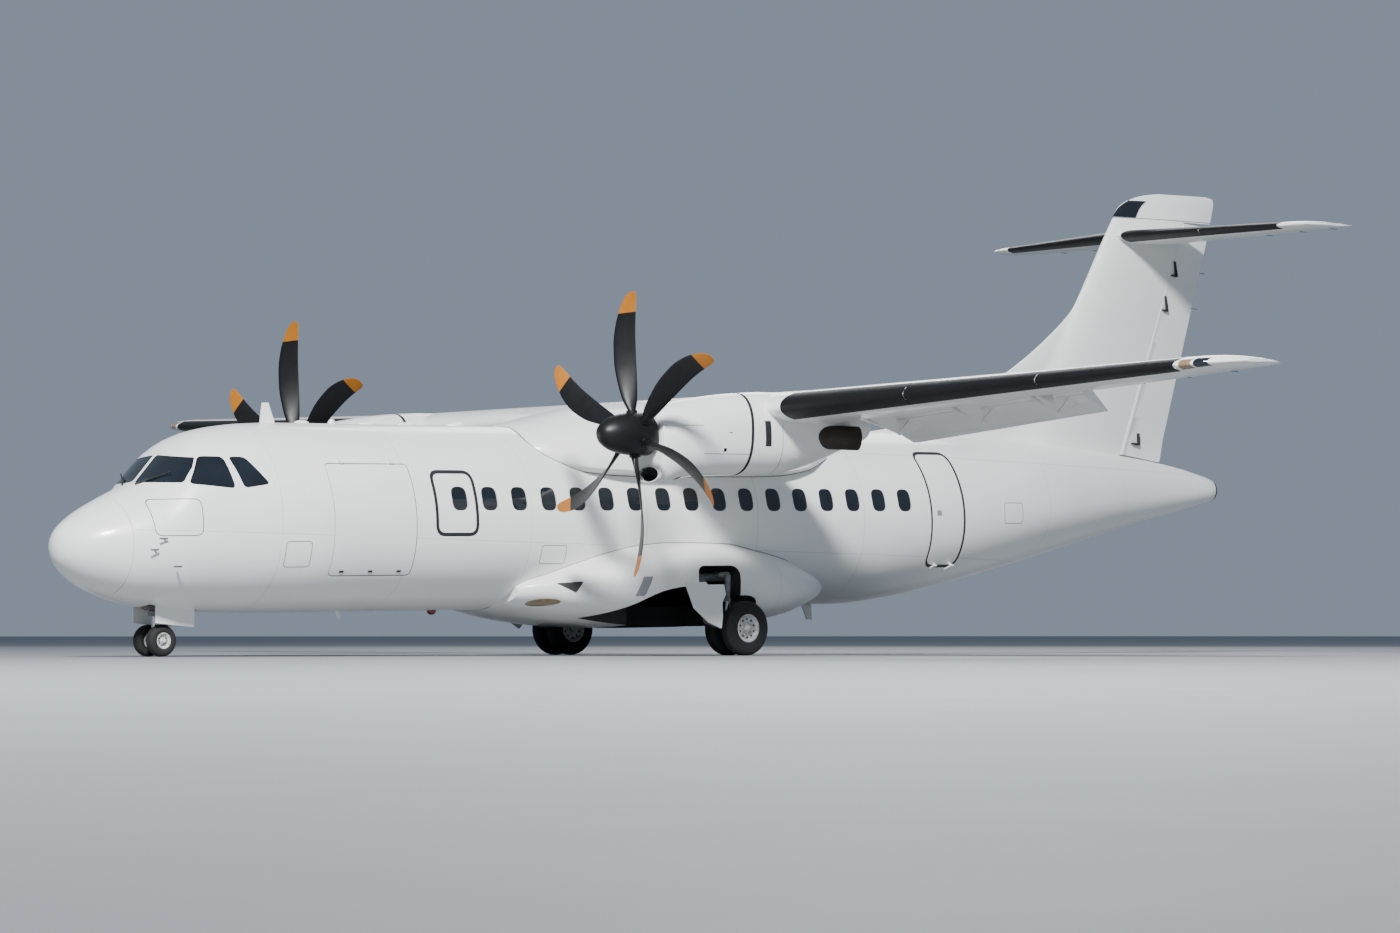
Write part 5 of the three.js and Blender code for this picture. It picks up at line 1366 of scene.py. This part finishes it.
NOSE_HUB = [
    (0.0006, 0.0800), (0.022, 0.0800), (0.030, 0.0760), (0.034, 0.0560), (0.050, 0.0480), (0.075, 0.0480),
    (0.088, 0.0600), (0.094, 0.0740), (0.110, 0.0755), (0.1130, 0.0730), (0.1130, 0.0660),
]


def lathe(name, half_section, centre, steps=72):
    """A section mirrored about the middle of a wheel and turned about the axle, which lies along y."""
    cx, cy, cz = centre
    ring = [*((r, -y) for r, y in half_section), *((r, y) for r, y in reversed(half_section))]
    rings = []
    for i in range(steps):
        a = 2 * math.pi * (i + 0.5) / steps
        rings.append([(cx + r * math.sin(a), cy + y, cz - r * math.cos(a)) for r, y in ring])
    return rolled(name, rings, closed_along=True)


print("points of a main tyre", len(TYRE))

# %% [markdown]
# A ring of bolts clamps the two halves of a hub together, and holes between the bolts let air cool the
# brake. A hole is drawn as a disc of painted shade, dark grey, a few millimetres proud of the hub, which a
# viewer can't tell from a real one.

# %% Bolts and cooling holes
MAIN_FACE = dict(bolts=10, bolts_at=0.085, holes_at=0.135, hole=0.016, face=0.058)
NOSE_FACE = dict(bolts=6, bolts_at=0.062, holes_at=0.062, hole=0.010, face=0.048)
BOLT_RADIUS, BOLT_PROUD, HOLE_PROUD, SUNK = 0.009, 0.014, 0.0045, 0.01


def stud(name, centre, way, radius_at, angle, face, proud, radius, sides):
    """A short bar on the face of a hub, at a radius and an angle."""
    x, z = centre[0] + radius_at * math.cos(angle), centre[2] + radius_at * math.sin(angle)
    y = centre[1] + way * face
    return bar(name, (x, y - way * SUNK, z), (x, y + way * proud, z), radius, sides=sides)


def hub_details(centre, way, bolts, bolts_at, holes_at, hole, face):
    parts = []
    for i in range(bolts):
        a = 2 * math.pi * i / bolts
        bolt = stud("bolt", centre, way, bolts_at, a, face, BOLT_PROUD, BOLT_RADIUS, 12)
        # Each cooling hole is a disc of painted shade
        dark = stud("hole", centre, way, holes_at, a + math.pi / bolts, face, HOLE_PROUD, hole, 20)
        parts += [painted(bolt, bare_aluminium), painted(dark, painted_shade)]
    return parts


print("bolts on a main hub", MAIN_FACE["bolts"])

# %% [markdown]
# The main wheels are pairs on one axle, which rolls as one body. The nose wheels are a smaller pair between
# which the fork reaches down. So a pair is one piece with its axle and bolts, and each tyre stays a piece
# of its own.

# %% Wheels
TWIN_HALF, NOSE_TWIN_HALF = 0.18, 0.16  # from the middle of a pair to the middle of a wheel
AXLE_RADIUS, NOSE_AXLE_RADIUS = 0.044, 0.030
for side, sign in SIDES.items():
    hubs, ends = [], []
    for where, way in (("inner", -1), ("outer", 1)):
        centre = (MAIN_AXLE.x, sign * (MAIN_AXLE.y + way * TWIN_HALF), MAIN_AXLE.z)
        tyre = painted(lathe(f"main_tyre_{side}_{where}_tread", TYRE, centre), tyre_rubber)
        finished(tyre, f"main_wheels_{side}", "tyre_rubber", f"main_tyre_{side}_{where}", angle=50)
        hubs += [painted(lathe("hub", HUB_SECTION, centre), hub_enamel)]
        hubs += hub_details(centre, sign * way, **MAIN_FACE)
        ends.append(centre)
    hubs.append(painted(bar("axle", *ends, AXLE_RADIUS, sides=28), hub_enamel))
    pair = together(f"main_hubs_{side}", hubs)
    finished(pair, f"main_wheels_{side}", "gear_paint", f"main_rims_{side}", angle=40)
ends = [(NOSE_AXLE.x, sign * NOSE_TWIN_HALF, NOSE_AXLE.z) for sign in SIDES.values()]
nose_hubs = [painted(bar("axle", *ends, NOSE_AXLE_RADIUS, sides=24), hub_enamel)]
for (side, sign), centre in zip(SIDES.items(), ends):
    tyre = painted(lathe(f"nose_tyre_{side}_tread", NOSE_TYRE, centre, 64), tyre_rubber)
    finished(tyre, "nose_wheels", "tyre_rubber", f"nose_tyre_{side}", angle=50)
    nose_hubs.append(painted(lathe("hub", NOSE_HUB, centre, 64), hub_enamel))
    nose_hubs += hub_details(centre, sign, **NOSE_FACE)
finished(together("nose_hubs", nose_hubs), "nose_wheels", "gear_paint", "nose_rims", angle=40)
print("wheels", len(tyre.data.polygons), "faces a nose tyre")

# %% [markdown]
# The legs carry chromed sliding tubes, which shine because the seals need a mirror finish. Black rubber
# hoses bring oil to the brakes. A hose is drawn as short bars from point to point, which is enough at this
# size.

# %% Shock tubes and brake hoses on the main legs
SHOCK_TOP, SHOCK_FOOT = (10.240, 2.035, -0.470), (10.190, 2.050, -1.165)
TUBE, COLLAR = (0.55, 0.93, 0.0425), (0.50, 0.56, 0.058)  # from and to along the shock strut, radius
MAIN_HOSES = [  # radius and points
    (0.012, [(9.93, 1.66, -0.45), (9.80, 1.80, -0.74), (9.79, 1.97, -1.02), (9.93, 1.982, -1.12),
             (10.28, 1.982, -1.20)]),
    (0.009, [(10.02, 1.70, -0.44), (9.99, 1.90, -0.74), (10.02, 1.985, -1.02), (10.30, 1.985, -1.13)]),
]


def hose(points, radius, sign=1):
    """Bars from point to point, on the right side or mirrored to the left."""
    points = [(x, sign * y, z) for x, y, z in points]
    return [bar("hose", a, b, radius, sides=10) for a, b in zip(points, points[1:])]


def strut_bar(name, top, foot, start, end, radius):
    return bar(name, top.lerp(foot, start), top.lerp(foot, end), radius, sides=32)


for side, sign in SIDES.items():
    top, foot = (Vector((x, sign * y, z)) for x, y, z in (SHOCK_TOP, SHOCK_FOOT))
    tube = strut_bar(f"shock_tube_{side}", top, foot, *TUBE)
    finished(painted(tube, chrome), "airframe", "bare_steel")
    collar = strut_bar(f"shock_collar_{side}", top, foot, *COLLAR)
    # The collar takes the grey enamel with its painted shade
    finished(painted(collar, gear_enamel_and_shade), "airframe", "gear_paint")
    lines = [part for radius, points in MAIN_HOSES for part in hose(points, radius, sign)]
    finished(painted(together(f"main_hoses_{side}", lines), window_rim), "airframe", "tyre_rubber", angle=60)
print("hoses on a main leg", len(MAIN_HOSES))

# %% [markdown]
# The nose leg has a chromed slide above the fork, two steering hoses, and the taxi lamp on its front: a
# clear lens in a polished rim. The slide turns with the fork, while lamp and hoses stay with the leg.

# %% Nose slide, taxi lamp and steering hoses
NOSE_HOSE = [(1.69, 0.05, -0.40), (1.69, 0.07, -0.74), (1.655, 0.04, -0.855)]
SLIDE_TOP, SLIDE_FOOT, SLIDE_RADIUS = -0.955, -1.150, 0.0455
LAMP_Z, LENS_RADIUS, RIM_RADIUS = -0.80, 0.066, 0.0775
slide = bar("nose_slide", (NOSE_AXLE.x, 0, SLIDE_TOP), (NOSE_AXLE.x, 0, SLIDE_FOOT), SLIDE_RADIUS, sides=32)
finished(painted(slide, chrome), "nose_steering", "bare_steel")
lens = painted(bar("lens", (1.4185, 0, LAMP_Z), (1.4245, 0, LAMP_Z), LENS_RADIUS, sides=36), lamp_glass)
rim = painted(bar("rim", (1.4210, 0, LAMP_Z), (1.4400, 0, LAMP_Z), RIM_RADIUS, sides=36), bare_aluminium)
finished(together("taxi_lamp", [lens, rim]), "airframe", "window_glass")
nose_lines = hose(NOSE_HOSE, 0.010, -1) + hose(NOSE_HOSE, 0.010)
finished(painted(together("nose_hoses", nose_lines), window_rim), "airframe", "tyre_rubber", angle=60)
print("nose gear fittings")

# %% [markdown]
# Last come the small things that a stranger looks for. Flat ones, such as the air inlets and landing lamps
# on the sponsons and the latches of the doors, are patches cut from the space between two skins. So they
# follow the curve of the body, where a flat plate would stand off at its corners.

# %% Patches on the skins
INLET = rounded([(7.50, -0.56), (7.86, -0.54), (7.76, -0.70)], 0.02)  # outlines in x, z
LOUVRE = rounded([(8.61, -0.76), (8.76, -0.76), (8.89, -0.48), (8.74, -0.48)], 0.02)
LAMP_OVAL = rounded(disc(7.42, -0.835, 0.20, 0.055), 0.01)
LATCHES = [(3.86, -0.37), (4.35, -0.37), (4.84, -0.37)]
LATCH_HALF_X, LATCH_HALF_Z = 0.035, 0.014
HANDLE = rectangle((15.03, 15.13), (0.42, 0.50), 0.02)
SPONSON_REACH = (-2.6, -0.4)  # y from and to
fairing_proud = table_skin("fairing_proud", GEAR_FAIRING, -4)
fairing_core = table_skin("fairing_core", GEAR_FAIRING, 6)


def patch(name, outline, outer, inner, reach):
    """An outline seen from the left, cut from the space between two skins."""
    piece = combine(prism(name, outline, "y", *reach), outer, "INTERSECT", keep=True)
    return combine(piece, inner, keep=True)


def on_sponson(name, outline):
    return patch(name, outline, fairing_proud, fairing_core, SPONSON_REACH)


def on_hull(name, outline):
    return patch(name, outline, under["proud"], under["thin"], LEFT_WALL)


# The inlet is a flat patch of painted shade where the opening is
inlet = painted(on_sponson("inlet", INLET), painted_shade)
louvre = painted(on_sponson("louvre", LOUVRE), grey_sealant)
inlets = both_sides(together("sponson_inlets", [inlet, louvre]))
finished(inlets, "airframe", "black_composite")
lenses = both_sides(painted(on_sponson("landing_lenses", LAMP_OVAL), lamp_glass))
finished(lenses, "airframe", "window_glass")
latches = []
for x, z in LATCHES:
    outline = rectangle((x - LATCH_HALF_X, x + LATCH_HALF_X), (z - LATCH_HALF_Z, z + LATCH_HALF_Z))
    latches.append(on_hull("latch", outline))
finished(painted(together("cargo_latches", latches), window_rim), "cargo_door", "black_composite")
finished(painted(on_hull("door_handle", HANDLE), grey_sealant), "passenger_door", "dark_metal")
print("latches", len(LATCHES))

# %% [markdown]
# Aerials for satellites and radio sit under low domes along the roof. A dome is a sphere, squashed to its
# three sizes and sunk halfway into the skin, so that it needs no foot of its own.

# %% Domes on the roof
ROOF_Z = 1.738
DOMES = [  # x, half sizes
    (4.10, (0.13, 0.05, 0.045)), (4.62, (0.06, 0.05, 0.07)), (5.20, (0.14, 0.10, 0.04)),
    (5.90, (0.14, 0.10, 0.04)), (6.80, (0.16, 0.12, 0.05)),
]


def dome(name, x, z, size):
    deselect()
    bpy.ops.mesh.primitive_uv_sphere_add(segments=32, ring_count=16, location=(x, 0, z))
    piece = bpy.context.object
    piece.scale = size
    bpy.ops.object.transform_apply()
    piece.name = name
    return painted(piece, plain_enamel)


domes = [dome("dome", x, ROOF_Z, size) for x, size in DOMES]
finished(together("roof_domes", domes), "airframe", "white_paint", angle=60)
print("domes", len(DOMES))

# %% [markdown]
# Probes beside the nose measure the air's pressure: each is a tube on a short mast, left bare because it is
# heated against ice. Wipers rest along the foot of the windscreens, each a thin bar with a thicker one at
# its foot. Plain round bars are enough for both at this size.

# %% Probes and wipers
PROBES = [(1.02, 0.905, -0.05), (1.14, 0.945, 0.10), (1.32, 1.01, -0.28)]
PROBE_OUT = 0.055
WIPERS = [  # from, to, radius
    ((1.255, 0.20, 0.885), (1.475, 0.62, 1.02), 0.010),
    ((1.20, 0.16, 0.862), (1.33, 0.33, 0.935), 0.015),
]
probes, wipers = [], []
for sign in (-1, 1):
    for x, y, z in PROBES:
        out = sign * (y + PROBE_OUT)
        probes.append(bar("mast", (x, sign * (y - 0.03), z), (x, out, z), 0.014, sides=12))
        probes.append(bar("probe", (x - 0.10, out, z), (x + 0.03, out, z), 0.012, sides=12))
probes = together("air_data_probes", [painted(part, bare_aluminium) for part in probes])
finished(probes, "airframe", "bare_steel", angle=60)
for sign in (-1, 1):
    for (x0, y0, z0), (x1, y1, z1), radius in WIPERS:
        wipers.append(bar("wiper", (x0, sign * y0, z0), (x1, sign * y1, z1), radius, sides=10))
finished(painted(together("wipers", wipers), window_rim), "airframe", "black_composite", angle=60)
print("probes", 2 * len(PROBES))

# %% [markdown]
# Under the belly are a thin blade aerial and the red beacon, a drop of glass made like the domes. The tail
# cone ends in a dark joint ring and the tail light. The ring is rolled through four sections of the hull
# itself, two of them a little proud of it.

# %% Belly blade, beacon and tail light
BLADE_OUTLINE = [(4.62, -0.90), (4.72, -0.90), (4.74, -1.03), (4.68, -1.03)]  # x, z
BLADE_HALF, BLADE_EDGE = 0.008, 0.004
BEACON = (6.35, -0.935, (0.07, 0.06, 0.06))  # x, z, half sizes
TAIL_LAMP_X, TAIL_LAMP_Z = (22.655, 22.695), 0.868
RING_STATIONS, RING_INSETS = (22545, 22545, 22585, 22585), (10, -3, -3, 10)  # mm
belly = prism("belly_blade", BLADE_OUTLINE, "y", -BLADE_HALF, BLADE_HALF)
finished(painted(bevelled(belly, BLADE_EDGE), plain_enamel), "airframe", "white_paint")
beacon = painted(dome("belly_beacon", *BEACON), red_lens)
finished(beacon, "airframe", "window_glass", angle=60)
rings = [ring_of(row, 48, inset) for row, inset in zip(eased(HULL, RING_STATIONS), RING_INSETS)]
tail_ring = rolled("tail_cone_ring", rings, closed_along=True)
finished(painted(tail_ring, window_rim), "airframe", "black_composite")
lamp_ends = [(x, 0, TAIL_LAMP_Z) for x in TAIL_LAMP_X]
tail_lamp = bar("tail_lamp", *lamp_ends, 0.052, 0.040, sides=28)
finished(painted(tail_lamp, lamp_glass), "airframe", "window_glass")
print("belly and tail", 4)

# %% [markdown]
# Small dark angles of metal stand beside the rudder: two on the fin, and one at the rudder's foot that
# turns with it. Each is an L-shaped prism that reaches through the fin and shows on both sides.

# %% Fittings on fin and rudder
ON_RUDDER = [(20.62, 1.62), (20.78, 1.60), (20.79, 1.62), (20.785, 1.80), (20.765, 1.80), (20.77, 1.635),
             (20.62, 1.645)]
UNDER_TAIL = [(21.62, 4.42), (21.73, 4.40), (21.745, 4.42), (21.70, 4.66), (21.68, 4.66), (21.715, 4.43),
              (21.62, 4.44)]
MIDDLE_OF_FIN = [(x - 0.235, z - 0.58) for x, z in UNDER_TAIL]
UNDER_TAIL_HALF, MIDDLE_HALF, RUDDER_HALF = 0.125, 0.127, 0.130
fittings = [prism("fitting", outline, "y", -half, half)
            for outline, half in ((UNDER_TAIL, UNDER_TAIL_HALF), (MIDDLE_OF_FIN, MIDDLE_HALF))]
finished(painted(together("fin_fittings", fittings), window_rim), "airframe", "black_composite")
rudder_fitting = prism("rudder_fitting", ON_RUDDER, "y", -RUDDER_HALF, RUDDER_HALF)
finished(painted(rudder_fitting, window_rim), "rudder", "black_composite")
print("fittings", len(fittings) + 1)

# %% [markdown]
# Static wicks on the trailing edges bleed off the charge that a flight through rain builds up. They are
# thin tapered bars at rows of the wing's own tables, and they ride on the control surfaces.

# %% Static wicks
AILERON_SPANS, ELEVATOR_SPANS = (9400, 10300, 11200), (1600, 2400, 3100)
RUDDER_WICKS = [(22.16, 0, 3.90), (22.36, 0, 4.50)]
WICK_LENGTH, WICK_SUNK, WICK_DROOP = 0.16, 0.03, 0.01


def trailing_spots(table, spans, sign):
    """Points on the trailing edge at some spans, in metres."""
    rows = [row_at(table, span) for span in spans]
    return [((row[1] + row[2]) * MM, sign * span * MM, row[3] * MM) for span, row in zip(spans, rows)]


def wicks(name, body, spots):
    parts = [bar("wick", (x - WICK_SUNK, y, z), (x + WICK_LENGTH, y, z - WICK_DROOP), 0.006, 0.004, sides=8)
             for x, y, z in spots]
    finished(painted(together(name, parts), window_rim), body, "black_composite", angle=60)


for side, sign in SIDES.items():
    wicks(f"aileron_wicks_{side}", f"aileron_{side}", trailing_spots(WING, AILERON_SPANS, sign))
    wicks(f"elevator_wicks_{side}", f"elevator_{side}", trailing_spots(TAILPLANE, ELEVATOR_SPANS, sign))
wicks("rudder_wicks", "rudder", RUDDER_WICKS)
for shell in (hull, *under.values(), fairing_proud, fairing_core):
    drop(shell)
print("wicks", 2 * (len(AILERON_SPANS) + len(ELEVATOR_SPANS)) + len(RUDDER_WICKS))
